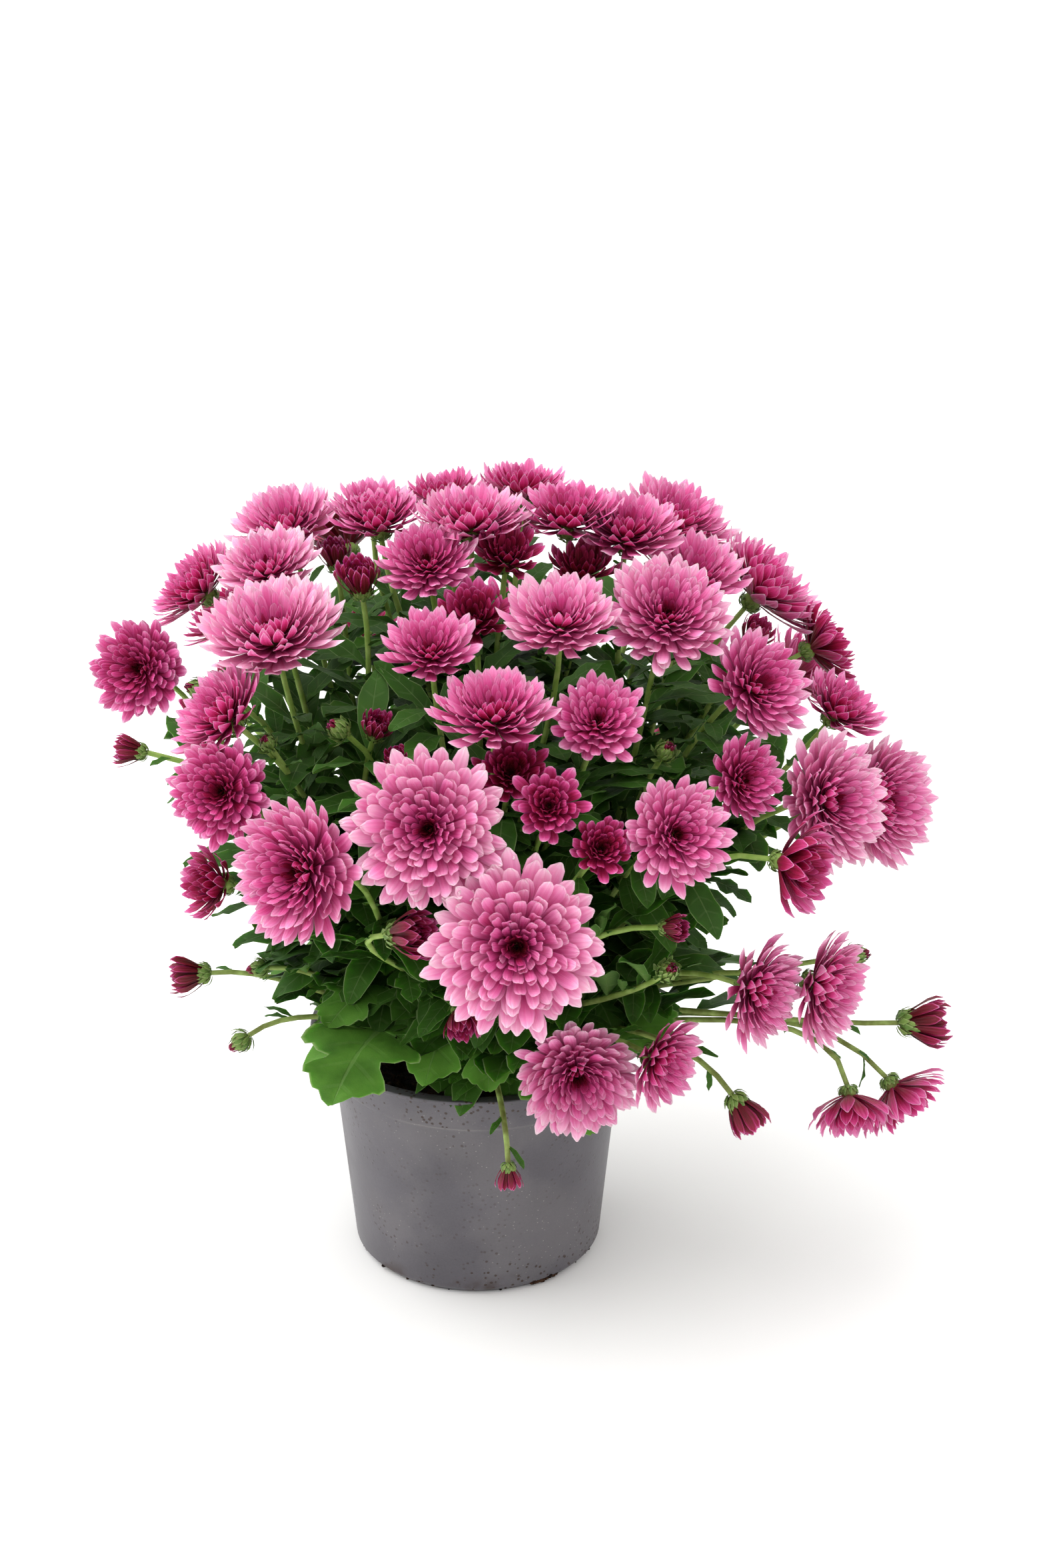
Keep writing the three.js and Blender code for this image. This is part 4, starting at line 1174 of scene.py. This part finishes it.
def head_points(petals, radius, across, along, under, thickness):
    """Places of all points of a head's petals, an array of petals by points by three."""
    # Along the petal: the middle point of its curve is pushed out square to its chord.
    chord_r, chord_z = petals.tip_r - petals.root_r, petals.tip_z - petals.root_z
    middle_r = (petals.root_r + petals.tip_r) / 2 + petals.bulge * chord_z
    middle_z = (petals.root_z + petals.tip_z) / 2 - petals.bulge * chord_r
    v, arc = petal_places(petals, np.hypot(chord_r, chord_z), across, along)
    curve_r = (petals.root_r, middle_r, petals.tip_r)
    curve_z = (petals.root_z, middle_z, petals.tip_z)
    r, z = bend(v, *curve_r), bend(v, *curve_z)
    dr, dz = slope(v, *curve_r), slope(v, *curve_z)
    length = np.hypot(dr, dz)
    up_r, up_z = -dz / length, dr / length

    # Across the petal: its sides are raised at the root and drop at the tip.
    swell = between(ROOT_WIDTH, 1, np.clip(v / BROADEST, 0, 1) ** 1.1)
    width = column(petals.half) * swell * np.cos(arc) ** 1.45
    x = width * across
    rise = column(petals.cup) * width * across**2 * (1 - 1.9 * v)
    rise = rise + column(petals.curl * length.mean(axis=1)) * np.clip((v - 0.6) / 0.4, 0, 1) ** 2
    rise = rise - under * thickness / radius
    angle = column(petals.twist) * v
    aside = x * np.cos(angle) - rise * np.sin(angle) + column(petals.lean) * v**2
    lift = x * np.sin(angle) + rise * np.cos(angle)

    r = r + lift * up_r
    z = z + lift * up_z
    cos, sin = np.cos(column(petals.turn)), np.sin(column(petals.turn))
    return np.stack([r * cos + aside * sin, r * sin - aside * cos, z], axis=-1) * radius


def placed(points, matrix):
    """Moves an array of points by a 4x4 matrix."""
    m = np.array(matrix)
    return points @ m[:3, :3].T + m[:3, 3]


def make_heads(name, heads, flat, thickness):
    """One mesh for several heads, each (form, radius, matrix, seed, youth)."""
    mesh, across, along, under = blades(name, flat, sum(BLADE_COUNTS[form] for form, *_ in heads))
    points, chances, ages, youths = [], [], [], []
    for form, radius, matrix, seed, youth in heads:
        petals = head_petals(form, seed)
        own = head_points(petals, radius, across, along, under, thickness)
        points.append(placed(own, matrix))
        chances.append(petals.chance)
        ages.append(petals.spiral)
        youths.append(np.full(BLADE_COUNTS[form], youth))
    chance, age, youth = (column(np.concatenate(part)) for part in (chances, ages, youths))
    mesh.vertices.foreach_set("co", np.concatenate(points).astype(np.float32).ravel())
    keep(mesh, "petal", along, across, age)
    keep(mesh, "bloom", chance, under, youth)
    mesh.update()
    return mesh


print("points of a petal:", len(PETAL_BLADE.vertices))

# %% [markdown]
# ## The open blooms
#
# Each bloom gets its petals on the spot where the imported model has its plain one. Blooms whose
# petals run into each other are one piece, as they are there.

# %% Blooms
SEAT_DEPTH = 0.3  # the blooms' own seats lie this share of their radius under their middle
PETAL_THICKNESS = 0.22 * MM
YOUTH = {"large": 0.02, "full": 0.24, "mid": 0.36, "small": 0.82}
# Blooms that are paler or darker than their form.
YOUTH_OF = {
    5: 0.14, 6: 0.36, 12: 0.6, 14: 0.04, 15: 0.4, 20: 0.1, 21: 0.12, 23: 0.95, 24: 0.34, 28: 0.3,
    30: 0.5, 31: 0.3, 32: 0.5, 35: 0.3, 37: 0.9, 38: 0.7, 39: 0.82, 41: 0.5, 44: 0.7, 45: 0.14,
    46: 0.1, 47: 0.14, 48: 0.28, 49: 0.45, 50: 0.3,
}
# Petals reach over the plain solids of their neighbours, at these blooms most of all.
SPREAD = 1.08
SPREAD_OF = {
    1: 1.16, 2: 1.14, 3: 1.14, 4: 1.16, 5: 1.14, 7: 1.18, 8: 1.14, 9: 1.28, 10: 1.28, 11: 1.34,
    12: 1.18, 14: 1.12, 15: 1.2, 16: 1.1, 22: 1.14, 23: 1.2, 24: 1.12, 25: 1.18, 44: 1.36,
    49: 1.2, 50: 1.16,
}
SLOTS = {
    "large": "petals_full_blown",
    "full": "petals_opening",
    "mid": "petals_opening",
    "small": "petals_young",
}


def flower_place(flower, depth):
    """Radius, facing and seat of a flower that sits this share of its radius under its middle."""
    radius = flower.width / 2 * MM
    facing = direction(flower.face_azimuth, flower.face_elevation)
    middle = on_dome(flower.azimuth, flower.elevation, flower.reach)
    return radius, facing, middle - facing * (depth * radius)


def facing_matrix(seat, facing, turn=0):
    """Stands a head on its seat, turned about itself and tipped to where it faces."""
    spin = UP.rotation_difference(facing) @ Quaternion(UP, turn)
    return Matrix.Translation(seat) @ spin.to_matrix().to_4x4()


def bloom_head(bloom):
    """What make_heads needs to know of an open bloom."""
    radius, facing, seat = flower_place(bloom, SEAT_DEPTH)
    matrix = facing_matrix(seat, facing, 2 * math.pi * draw(bloom.number, 7))
    youth = YOUTH_OF.get(bloom.number, YOUTH[bloom.form] + 0.1 * sway(bloom.number, 11))
    spread = SPREAD_OF.get(bloom.number, SPREAD)
    return bloom.form, radius * spread, matrix, bloom.number, clamp(youth)


BY_NUMBER = {bloom.number: bloom for bloom in BLOOMS}
clustered = {number for group in CLUSTERS for number in group}
groups = CLUSTERS + [[bloom.number] for bloom in BLOOMS if bloom.number not in clustered]
petal_faces = 0
for numbers in groups:
    label = "_".join(f"{number:02d}" for number in numbers)
    blooms = [BY_NUMBER[number] for number in numbers]
    heads = [bloom_head(bloom) for bloom in blooms]
    mesh = make_heads("petals_" + label, heads, PETAL_BLADE, PETAL_THICKNESS)
    add_piece("petals_" + label, mesh, PETAL, SLOTS[blooms[0].form], "bloom_" + label)
    petal_faces += len(mesh.polygons)
print("blooms:", len(groups), "pieces,", petal_faces, "faces")

# %% [markdown]
# ## Stems and stalks
#
# Every flower hangs on a stalk that leaves one of seven main stems. A stalk swings away from its
# stem and turns until it meets the flower square on, which is just what a Bezier curve with two
# handles does. All the stalks of a stem are drawn as one Blender curve with a round bevel, which is
# then made a mesh.

# %% Routes of the stalks
LEAVE = 0.36  # shares of its span over which a stalk leaves its stem
ARRIVE = 0.3  # and turns to its flower
CALYX_SEAT = 0.22  # depth of the cup under a bloom, as a share of the bloom's radius
FOOT_RING = 18  # radius of the ring on which the main stems leave the soil
TOP_RING = 42  # and of the ring to which they spread
STALK_ROOTS = (97, 149)  # heights between which the stalks leave a main stem
CENTRE_ROOTS = (150, 192)  # and those on the stem in the centre


def main_point(stem, z):
    """The middle of a main stem at a height."""
    climb = max(0, z - GROUND) / (STEM_TOP - GROUND)
    if STEM_LEAN[stem] is None:
        return Vector((ASIDE * MM, (1 + 2 * math.sin(climb * 2)) * MM, z))
    radius = between(FOOT_RING, TOP_RING, climb**1.3) * MM
    return direction(STEM_LEAN[stem], 0) * radius + Vector((ASIDE * MM, 0, z))


def stem_top(stem):
    return CENTRE_TOP if STEM_LEAN[stem] is None else STEM_TOP


def root_height(stem, elevation):
    """Where a flower's stalk leaves its main stem. Higher flowers leave it higher up."""
    others = [flower.elevation for flower in BLOOMS + YOUNG if flower.stem == stem]
    rank = sum(other < elevation for other in others) / max(1, len(others) - 1)
    return between(*(CENTRE_ROOTS if STEM_LEAN[stem] is None else STALK_ROOTS), rank) * MM


def stalk_route(flower, end, facing):
    """The four points of a stalk's Bezier curve."""
    root = main_point(flower.stem, root_height(flower.stem, flower.elevation))
    span = (end - root).length
    away = direction(flower.azimuth, max(10, 16 + flower.elevation * 0.75))
    return root, root + away * (span * LEAVE), end - facing * (span * ARRIVE), end


def on_route(route, t):
    a, b, c, d = route
    s = 1 - t
    return a * s**3 + b * (3 * s * s * t) + c * (3 * s * t * t) + d * t**3


def route_heading(route, t):
    a, b, c, d = route
    s = 1 - t
    return ((b - a) * (s * s) + (c - b) * (2 * s * t) + (d - c) * (t * t)).normalized()


Stalk = namedtuple("Stalk", "stem route key kind radius facing seat")


def flower_stalk(flower, depth, neck):
    """The stalk of a flower, up to a neck that lies a share of its radius under its seat."""
    radius, facing, seat = flower_place(flower, depth)
    route = stalk_route(flower, seat - facing * (neck * radius), facing)
    return Stalk(flower.stem, route, flower.number, flower.form, radius, facing, seat)


stalks = [flower_stalk(bloom, SEAT_DEPTH, CALYX_SEAT) for bloom in BLOOMS]
stalks += [flower_stalk(flower, 1, 0) for flower in YOUNG]
print("stalks:", len(stalks))

# %% [markdown]
# ## Where the leaves are
#
# Leaves get their places before their shapes, because their petioles are drawn with the stalks.
# The large leaves are in the plan. Many stalks carry a small leaf, and each has two bracts close
# under its flower. Draws turn these about their stalk.

# %% Places of the leaves
Leaf = namedtuple(
    "Leaf", "stem root heading length bend kind fresh key petiole roll", defaults=(0, 0)
)
SMALL_LEAF = (28, 40)  # shortest and longest
BRACT = (7, 15)
# Every leaf has a number of its own for its draws. Those of each kind start here.
SMALL_KEYS = 100
BRACT_KEYS = 9000


def stalk_leaf(stalk, share, azimuth, elevation, lean, **leaf):
    """A leaf that grows out of a stalk at this share of it, and leans along it."""
    stalk_heading = route_heading(stalk.route, share)
    about = direction(azimuth, elevation)
    aside = (about - stalk_heading * about.dot(stalk_heading)).normalized()
    heading = (aside + stalk_heading * lean).normalized()
    return Leaf(stalk.stem, on_route(stalk.route, share), heading, **leaf)


leaves = []
for stem, height, azimuth, elevation, petiole, length, bending, kind, *roll in LARGE_LEAVES:
    # Large leaves low on the plant get a lighter green as painted light, most of all those in front.
    low = 1 - clamp((height - 90) / 60)
    leaf = Leaf(
        stem,
        main_point(stem, height * MM),
        direction(azimuth, elevation),
        length * MM,
        bending,
        kind,
        fresh=0.5 + 0.5 * low * (1 if abs(azimuth) < 70 else 0.6),
        key=len(leaves),
        petiole=petiole * MM,
        roll=math.radians(sum(roll)),
    )
    leaves.append(leaf)

for stalk in stalks:
    if stalk.key in LEAFY:
        k = 1 if stalk.key in SECOND_DRAW else 0
        leaf = stalk_leaf(
            stalk,
            0.4 + 0.3 * draw(stalk.key, 30 + k),
            azimuth=360 * draw(stalk.key, 60 + k),
            elevation=10,
            lean=0.9,
            length=between(*SMALL_LEAF, draw(stalk.key, 90 + k)) * MM,
            bend=0.7,
            kind="small",
            fresh=0.3,
            key=SMALL_KEYS + stalk.key,
        )
        leaves.append(leaf)
print("large and small leaves:", len(leaves))

for stalk in stalks:
    for i in range(2):
        key = BRACT_KEYS + stalk.key * 4 + i
        leaf = stalk_leaf(
            stalk,
            0.6 + 0.34 * draw(key, 1),
            azimuth=360 * draw(key, 2),
            elevation=10,
            lean=1.0,
            length=between(*BRACT, draw(key, 3)) * MM,
            bend=0.6,
            kind="bract",
            fresh=0.5,
            key=key,
        )
        leaves.append(leaf)
print("with the bracts:", len(leaves))

# %% [markdown]
# ## The dense inside of the dome
#
# Behind the blooms the plant is a thicket: every stalk bears a leaf at each joint. These inner
# leaves aren't in the plan one by one. Seeded draws hang them along the stalks and main stems, and
# a leaf is kept only where it runs into no bloom and stays under the dome.

# %% Inner foliage
INNER_TRIES = 24  # draws for each stalk
MAIN_TRIES = 60  # and for each main stem
INNER_LEAF = (25, 47)  # shortest and longest
MAIN_LEAF = (34, 54)
INNER_KEYS = 1000
MAIN_KEYS = 5000
INNER_REACH = 0.88  # share of the dome's radius that they stay within
TOP_REACH = 0.05  # and so much more at the top
LEAF_FLOOR = 92 * MM  # none ends lower than this
SKIRT = 66 * MM  # how far they reach from the middle, just over the lip
SKIRT_HEIGHT = 100 * MM
SKIRT_SLOPE = 0.65  # and how much further for each step up
LOW_LEAF = 140 * MM  # under this height the leaves in front get painted light: a lighter green
LIGHT_FADE = 40 * MM
# How much lighter green the low leaves in front are painted, as painted light.
PAINTED_FRONT_LIGHT = 0.3
BALL_LIFT = 0.35  # a bloom fills a ball whose middle lies this share of its radius over its seat
BALLS = [(stalk.seat + stalk.facing * (BALL_LIFT * stalk.radius), stalk.radius) for stalk in stalks]


def clear_of_blooms(point, margin):
    return all((point - middle).length > radius * margin for middle, radius in BALLS)


def in_plant(point):
    """Whether a point lies under the dome, over the pot and inside the plant's skirt."""
    out = point - DOME_CENTRE
    under_skirt = out.xy.length < SKIRT + SKIRT_SLOPE * (point.z - SKIRT_HEIGHT)
    reach = INNER_REACH + TOP_REACH * clamp(out.z / out.length)
    return under_skirt and point.z > LEAF_FLOOR and out.length < DOME_RADIUS * reach


def try_leaf(leaf):
    """Keeps a leaf that stays in the plant and clear of the blooms."""
    tip = leaf.root + leaf.heading * (leaf.length * 0.95)
    middle = leaf.root + leaf.heading * (leaf.length * 0.55)
    if in_plant(tip) and clear_of_blooms(tip, 1.05) and clear_of_blooms(middle, 1.0):
        # Low leaves in front get painted light: their green is made lighter.
        low, front = clamp((LOW_LEAF - tip.z) / LIGHT_FADE), clamp(-tip.y / LIGHT_FADE)
        leaves.append(leaf._replace(fresh=leaf.fresh + PAINTED_FRONT_LIGHT * low * front))


for stalk in stalks:
    for i in range(INNER_TRIES):
        key = INNER_KEYS + stalk.key * 20 + i
        share = 0.08 + 0.8 * (i + draw(key, 1)) / INNER_TRIES
        leaf = stalk_leaf(
            stalk,
            share,
            azimuth=360 * draw(key, 2),
            elevation=30 * sway(key, 3),
            lean=0.9,
            length=between(*INNER_LEAF, draw(key, 4)) * (1 - 0.3 * share) * MM,
            bend=0.4 + 0.6 * draw(key, 6),
            kind="inner_lobed" if draw(key, 5) < 0.4 and share < 0.6 else "inner",
            fresh=0.25,
            key=key,
        )
        try_leaf(leaf)
for number, stem in enumerate(STEM_LEAN):
    for i in range(MAIN_TRIES):
        key = MAIN_KEYS + 2 * MAIN_TRIES * number + i
        root = main_point(stem, between(LEAF_FLOOR, stem_top(stem), draw(key, 1)))
        heading = direction(360 * draw(key, 2), 5 + 55 * draw(key, 3))
        length = between(*MAIN_LEAF, draw(key, 4)) * MM
        try_leaf(Leaf(stem, root, heading, length, 0.8, "inner_lobed", 0.2, key))
print("leaves in all:", len(leaves))

# %% [markdown]
# ## Making the stems
#
# The bevel of a Blender curve can swell and taper, so a stalk is a little thicker where it leaves
# its stem and tapers towards its flower. Petioles are short curves of the same kind.


# %% Stems as curves
STALK_RADIUS = 1.25 * MM
NECK_RADIUS = 1.0 * MM


def add_bezier(curve, route, root_radius, end_radius):
    spline = curve.splines.new("BEZIER")
    spline.bezier_points.add(1)
    a, b, c, d = route
    for point, place, left, right, radius in zip(
        spline.bezier_points, (a, d), (a, c), (b, d), (root_radius, end_radius)
    ):
        point.handle_left_type = point.handle_right_type = "FREE"
        point.co = place
        point.handle_left = left
        point.handle_right = right
        point.radius = radius


def add_main_stem(curve, stem):
    top = stem_top(stem)
    heights = np.linspace(STEM_FOOT + 12 * MM, top, 7)
    spline = curve.splines.new("BEZIER")
    spline.bezier_points.add(len(heights) - 1)
    for point, z in zip(spline.bezier_points, heights):
        point.co = main_point(stem, z)
        point.handle_left_type = point.handle_right_type = "AUTO"
        share = (z - STEM_FOOT) / (top - STEM_FOOT)
        point.radius = (3.1 - 1.1 * share) * MM


def make_stalks(stem):
    """A main stem with its stalks and petioles."""
    curve = new_curve("stalks_" + stem, 10, 2)
    add_main_stem(curve, stem)
    for stalk in stalks:
        if stalk.stem == stem:
            add_bezier(curve, stalk.route, STALK_RADIUS, NECK_RADIUS)
    for leaf in leaves:
        if leaf.stem == stem and leaf.petiole:
            root, end = leaf.root, leaf.root + leaf.heading * (leaf.petiole + 0.02 * leaf.length)
            third = (end - root) / 3
            radius = (0.55 + 9 * leaf.length) * MM
            add_bezier(curve, (root, root + third, end - third, end), radius * 1.25, radius)
    return curve_mesh(curve)


stalk_faces = 0
for stem in STEM_LEAN:
    piece = add_piece("stalks_" + stem, make_stalks(stem), STALK, "foliage", "leafy_stem_" + stem)
    stalk_faces += len(piece.data.polygons)
print("stalk faces:", stalk_faces)

# %% [markdown]
# ## Calyces, tufts and buds
#
# Under each bloom sits a cup of overlapping green scales. A bud is that cup still closed over the
# flower, and a half-open flower pushes a brush of dark petals out of it. They are heads of blades
# like the blooms, made with small scales and other laws.

# %% Cups and young flowers
SCALE_THICKNESS = 0.3 * MM
TUFT_SPREAD = 1.1

# Radius and height of the core in the cup of a young flower, as shares of the cup's radius.
YOUNG_CORES = {"tuft": (0.42, 0.6), "bud": (0.7, 1.6)}


def cup_radius(kind, radius):
    """Radius of the green cup: it grows less than the flower that it carries."""
    return radius if kind in YOUNG_CORES else 1.8 * MM + 0.12 * radius


def cup_core(bm, matrix, radius, height):
    """The solid receptacle inside the scales."""
    half = height * 0.5
    shape = Matrix.Translation((0, 0, half)) @ Matrix.Diagonal((radius, radius, half, 1))
    bmesh.ops.create_uvsphere(bm, u_segments=12, v_segments=6, radius=1, matrix=matrix @ shape)


def make_cups(stem):
    """The scales of all cups on a stem, and the cores inside them."""
    heads = []
    cores = bmesh.new()
    for stalk in stalks:
        if stalk.stem != stem:
            continue
        cup = cup_radius(stalk.kind, stalk.radius)
        if stalk.kind in YOUNG_CORES:
            form, depth = stalk.kind + "_scales", 0
            core = [share * cup for share in YOUNG_CORES[stalk.kind]]
        else:
            form, depth = "calyx", CALYX_SEAT * stalk.radius
            core = [cup * 0.86, max(cup * 1.1, depth * 1.6)]
        matrix = facing_matrix(stalk.seat - stalk.facing * depth, stalk.facing)
        cup_core(cores, matrix, *core)
        heads.append((form, cup, matrix, stalk.key, 0))
    mesh = make_heads("cups_" + stem, heads, SCALE_BLADE, SCALE_THICKNESS)
    return mesh, mesh_of(cores, "cup_cores")


def make_tufts(stem):
    """The petals of the young flowers on a stem, or None where it has none."""
    heads = []
    for stalk in stalks:
        if stalk.stem == stem and stalk.kind in YOUNG_CORES:
            matrix = facing_matrix(stalk.seat, stalk.facing)
            youth = 0.88 + 0.12 * draw(stalk.key, 12)
            heads.append((stalk.kind, stalk.radius * TUFT_SPREAD, matrix, stalk.key, youth))
    return make_heads("tufts_" + stem, heads, YOUNG_BLADE, PETAL_THICKNESS) if heads else None


cup_faces = 0
for stem in STEM_LEAN:
    scales, cores = make_cups(stem)
    add_piece("cup_scales_" + stem, scales, SCALE, "foliage")
    add_piece("cup_cores_" + stem, cores, STALK, "foliage")
    tufts = make_tufts(stem)
    if tufts:
        add_piece("tufts_" + stem, tufts, PETAL, "petals_young")
    cup_faces += len(scales.polygons) + len(cores.polygons) + (len(tufts.polygons) if tufts else 0)
print("faces of cups and young flowers:", cup_faces)

# %% [markdown]
# ## Leaves
#
# A chrysanthemum leaf is cut into rounded lobes with a few blunt teeth. Its outline is drawn once,
# as points on one half, and each row of the flat blade runs along a vein: from the midrib slanting
# forward to its point on the outline. So the cuts between the lobes fall between two rows, and the
# blade stays smooth. Every leaf then bends down along its length, with its edges raised a little
# and softly waved.

# %% Outlines and leaf shapes
# Share along the blade, and share of its length to the side.
OUTLINES = {
    "lobed": [
        (0.00, 0.012), (0.05, 0.045), (0.10, 0.13), (0.14, 0.215), (0.19, 0.255), (0.245, 0.235),
        (0.255, 0.205), (0.29, 0.175), (0.31, 0.13), (0.35, 0.155), (0.40, 0.25), (0.44, 0.335),
        (0.49, 0.362), (0.54, 0.372), (0.575, 0.33), (0.565, 0.29), (0.605, 0.245), (0.62, 0.165),
        (0.66, 0.175), (0.72, 0.225), (0.78, 0.252), (0.83, 0.235), (0.83, 0.195), (0.885, 0.165),
        (0.91, 0.145), (0.915, 0.105), (0.965, 0.07), (0.995, 0.018),
    ],
    "oblong": [
        (0, 0.015), (0.08, 0.05), (0.2, 0.11), (0.36, 0.16), (0.54, 0.175), (0.72, 0.155),
        (0.86, 0.105), (0.95, 0.055), (0.995, 0.012),
    ],
    "small": [
        (0, 0.015), (0.08, 0.045), (0.2, 0.095), (0.34, 0.14), (0.48, 0.165), (0.62, 0.168),
        (0.75, 0.145), (0.87, 0.098), (0.95, 0.045), (0.99, 0.01),
    ],
    "inner_lobed": [
        (0, 0.015), (0.12, 0.12), (0.24, 0.15), (0.3, 0.09), (0.42, 0.21), (0.56, 0.25),
        (0.63, 0.13), (0.76, 0.17), (0.9, 0.11), (0.99, 0.015),
    ],
    "bract": [
        (0, 0.02), (0.15, 0.07), (0.35, 0.12), (0.55, 0.14), (0.75, 0.12), (0.9, 0.06),
        (0.99, 0.01),
    ],
}
OUTLINES["inner"] = OUTLINES["small"]
# Name of the pieces, columns of their flat blade, and the outlines that it is bent to. The blade
# has a row for each step from one point of the outline to the next.
LEAF_SORTS = [
    ("large", 6, ("lobed",)),
    ("middle", 4, ("oblong",)),
    ("small", 4, ("small",)),
    ("inner", 2, ("inner", "inner_lobed")),
    ("bract", 2, ("bract",)),
]
LEAF_BLADES = {
    sort: flat_blade(f"flat_{sort}_leaf", columns, len(OUTLINES[kinds[0]]) - 1)
    for sort, columns, kinds in LEAF_SORTS
}
print("faces of a leaf:", {sort: len(mesh.polygons) for sort, mesh in LEAF_BLADES.items()})

# %% Shape the leaves
SLANT = 0.7  # how far a vein runs forward for each step to the side
ARCH = 0.16  # how much the edges are raised, for each step to the side
LEAF_THICKNESS = 0.45 * MM
# The first large leaf hangs over the rim. Its blade turns aside from its petiole, and is larger.
BLADE_TURNS = {0: direction(-21, 22)}
TURNED_SIZE = 1.16


def leaf_frame(heading, roll):
    """The sideways and upward axes of a leaf that is rolled about its length."""
    turn = Quaternion(heading, -roll)
    side = heading.cross(UP).normalized()
    return turn @ side, turn @ side.cross(heading)


def leaf_points(leaf, across, along, under):
    """Places of a leaf's points, and how far along the midrib each one's vein starts."""
    outline = np.array(OUTLINES[leaf.kind]).T
    stops = np.linspace(0, 1, outline.shape[1])
    edge_share, edge_aside = (np.interp(along, stops, values) for values in outline)
    vein = np.maximum(0, edge_share - SLANT * edge_aside)
    share = vein + np.abs(across) * (edge_share - vein)
    aside = across * edge_aside

    # Up from the blade's middle: raised edges, two soft waves, a curl, and the lower face.
    phases = [draw(leaf.key, 41), draw(leaf.key, 42)]
    wave = 0.022 * np.sin(2 * math.pi * (2.6 * share + phases[0])) * np.sign(across) * across**2
    wave = wave + 0.02 * np.sin(2 * math.pi * (1.7 * share + phases[1])) * np.abs(across)
    curl = -0.5 * (0.4 + draw(leaf.key, 43)) * aside**2
    up = ARCH * np.abs(aside) + wave + curl - under * LEAF_THICKNESS / leaf.length
    tilt = 0.35 * sway(leaf.key, 44) * share
    aside, up = aside * np.cos(tilt) - up * np.sin(tilt), aside * np.sin(tilt) + up * np.cos(tilt)

    # Along the blade: it bends down as a part of a circle.
    angle = leaf.bend * share
    forward = np.sin(angle) / leaf.bend + up * np.sin(angle)
    over = -(1 - np.cos(angle)) / leaf.bend + up * np.cos(angle)
    sideways = aside + 0.06 * sway(leaf.key, 45) * share**2

    heading, roll, length = leaf.heading, leaf.roll, leaf.length
    if leaf.key in BLADE_TURNS:
        heading, roll, length = BLADE_TURNS[leaf.key], 0, length * TURNED_SIZE
    axes = np.array([heading, *leaf_frame(heading, roll)])
    base = leaf.root + leaf.heading * leaf.petiole
    return np.stack([forward, sideways, over], axis=-1) * length @ axes + np.array(base), vein


def make_leaves(name, flat, own):
    """One mesh of leaves that share a flat blade."""
    mesh, across, along, under = blades(name, flat, len(own))
    points, veins = zip(*(leaf_points(leaf, across, along, under) for leaf in own))
    mesh.vertices.foreach_set("co", np.array(points, np.float32).ravel())
    fresh = column([leaf.fresh for leaf in own])
    chance = column([draw(leaf.key, 46) for leaf in own])
    keep(mesh, "blade", along, across, np.array(veins))
    keep(mesh, "leaf", fresh, under, chance)
    mesh.update()
    return mesh


leaf_faces = 0
for stem in STEM_LEAN:
    for sort, _, kinds in LEAF_SORTS:
        own = [leaf for leaf in leaves if leaf.stem == stem and leaf.kind in kinds]
        if own:
            mesh = make_leaves(f"{sort}_leaves_{stem}", LEAF_BLADES[sort], own)
            add_piece(f"{sort}_leaves_{stem}", mesh, LEAF, "foliage")
            leaf_faces += len(mesh.polygons)
print("leaf faces:", leaf_faces)

# %% [markdown]
# ## Floor and light
#
# The plant stands on a white sheet in a bright white room. A large soft lamp on the left gives the
# petals their form, and the white surroundings fill every shadow.

# %% Stage and lamps
FLOOR_SIDE = 24
FLOOR_WHITE = (0.93, 0.925, 0.915, 1)
MIDDLE = (0, 0, 0.15)
ROOM_STRENGTH = 1.15


def make_floor():
    bm = bmesh.new()
    bmesh.ops.create_grid(bm, x_segments=2, y_segments=2, size=FLOOR_SIDE / 2)
    mesh = mesh_of(bm, "floor")
    finish = Finish("white_floor")
    white = finish.surface(Base_Color=FLOOR_WHITE, Roughness=0.9, Specular_IOR_Level=0.1)
    mesh.materials.append(white)
    return new_object("floor", mesh)


def add_lamp(name, place, size, power):
    """A round soft lamp that shines on the middle of the plant."""
    light = bpy.data.lights.new(name, "AREA")
    light.shape = "DISK"
    light.size = size
    light.energy = power
    lamp = new_object(name, light)
    lamp.location = place
    lamp.rotation_euler = (Vector(MIDDLE) - Vector(place)).to_track_quat("-Z", "Y").to_euler()


make_floor()
add_lamp("window", (-1.7, 0.25, 1.5), 2.8, 28)
add_lamp("ceiling", (-0.3, -0.5, 2.2), 2.4, 24)

world = bpy.data.worlds.new("white_room")
world.use_nodes = True
backdrop = world.node_tree.nodes["Background"]
backdrop.inputs["Color"].default_value = (1, 1, 1, 1)
backdrop.inputs["Strength"].default_value = ROOM_STRENGTH
bpy.context.scene.world = world
bpy.context.scene.view_settings.view_transform = "Standard"
print("lamps:", [o.name for o in bpy.context.scene.objects if o.type == "LIGHT"])
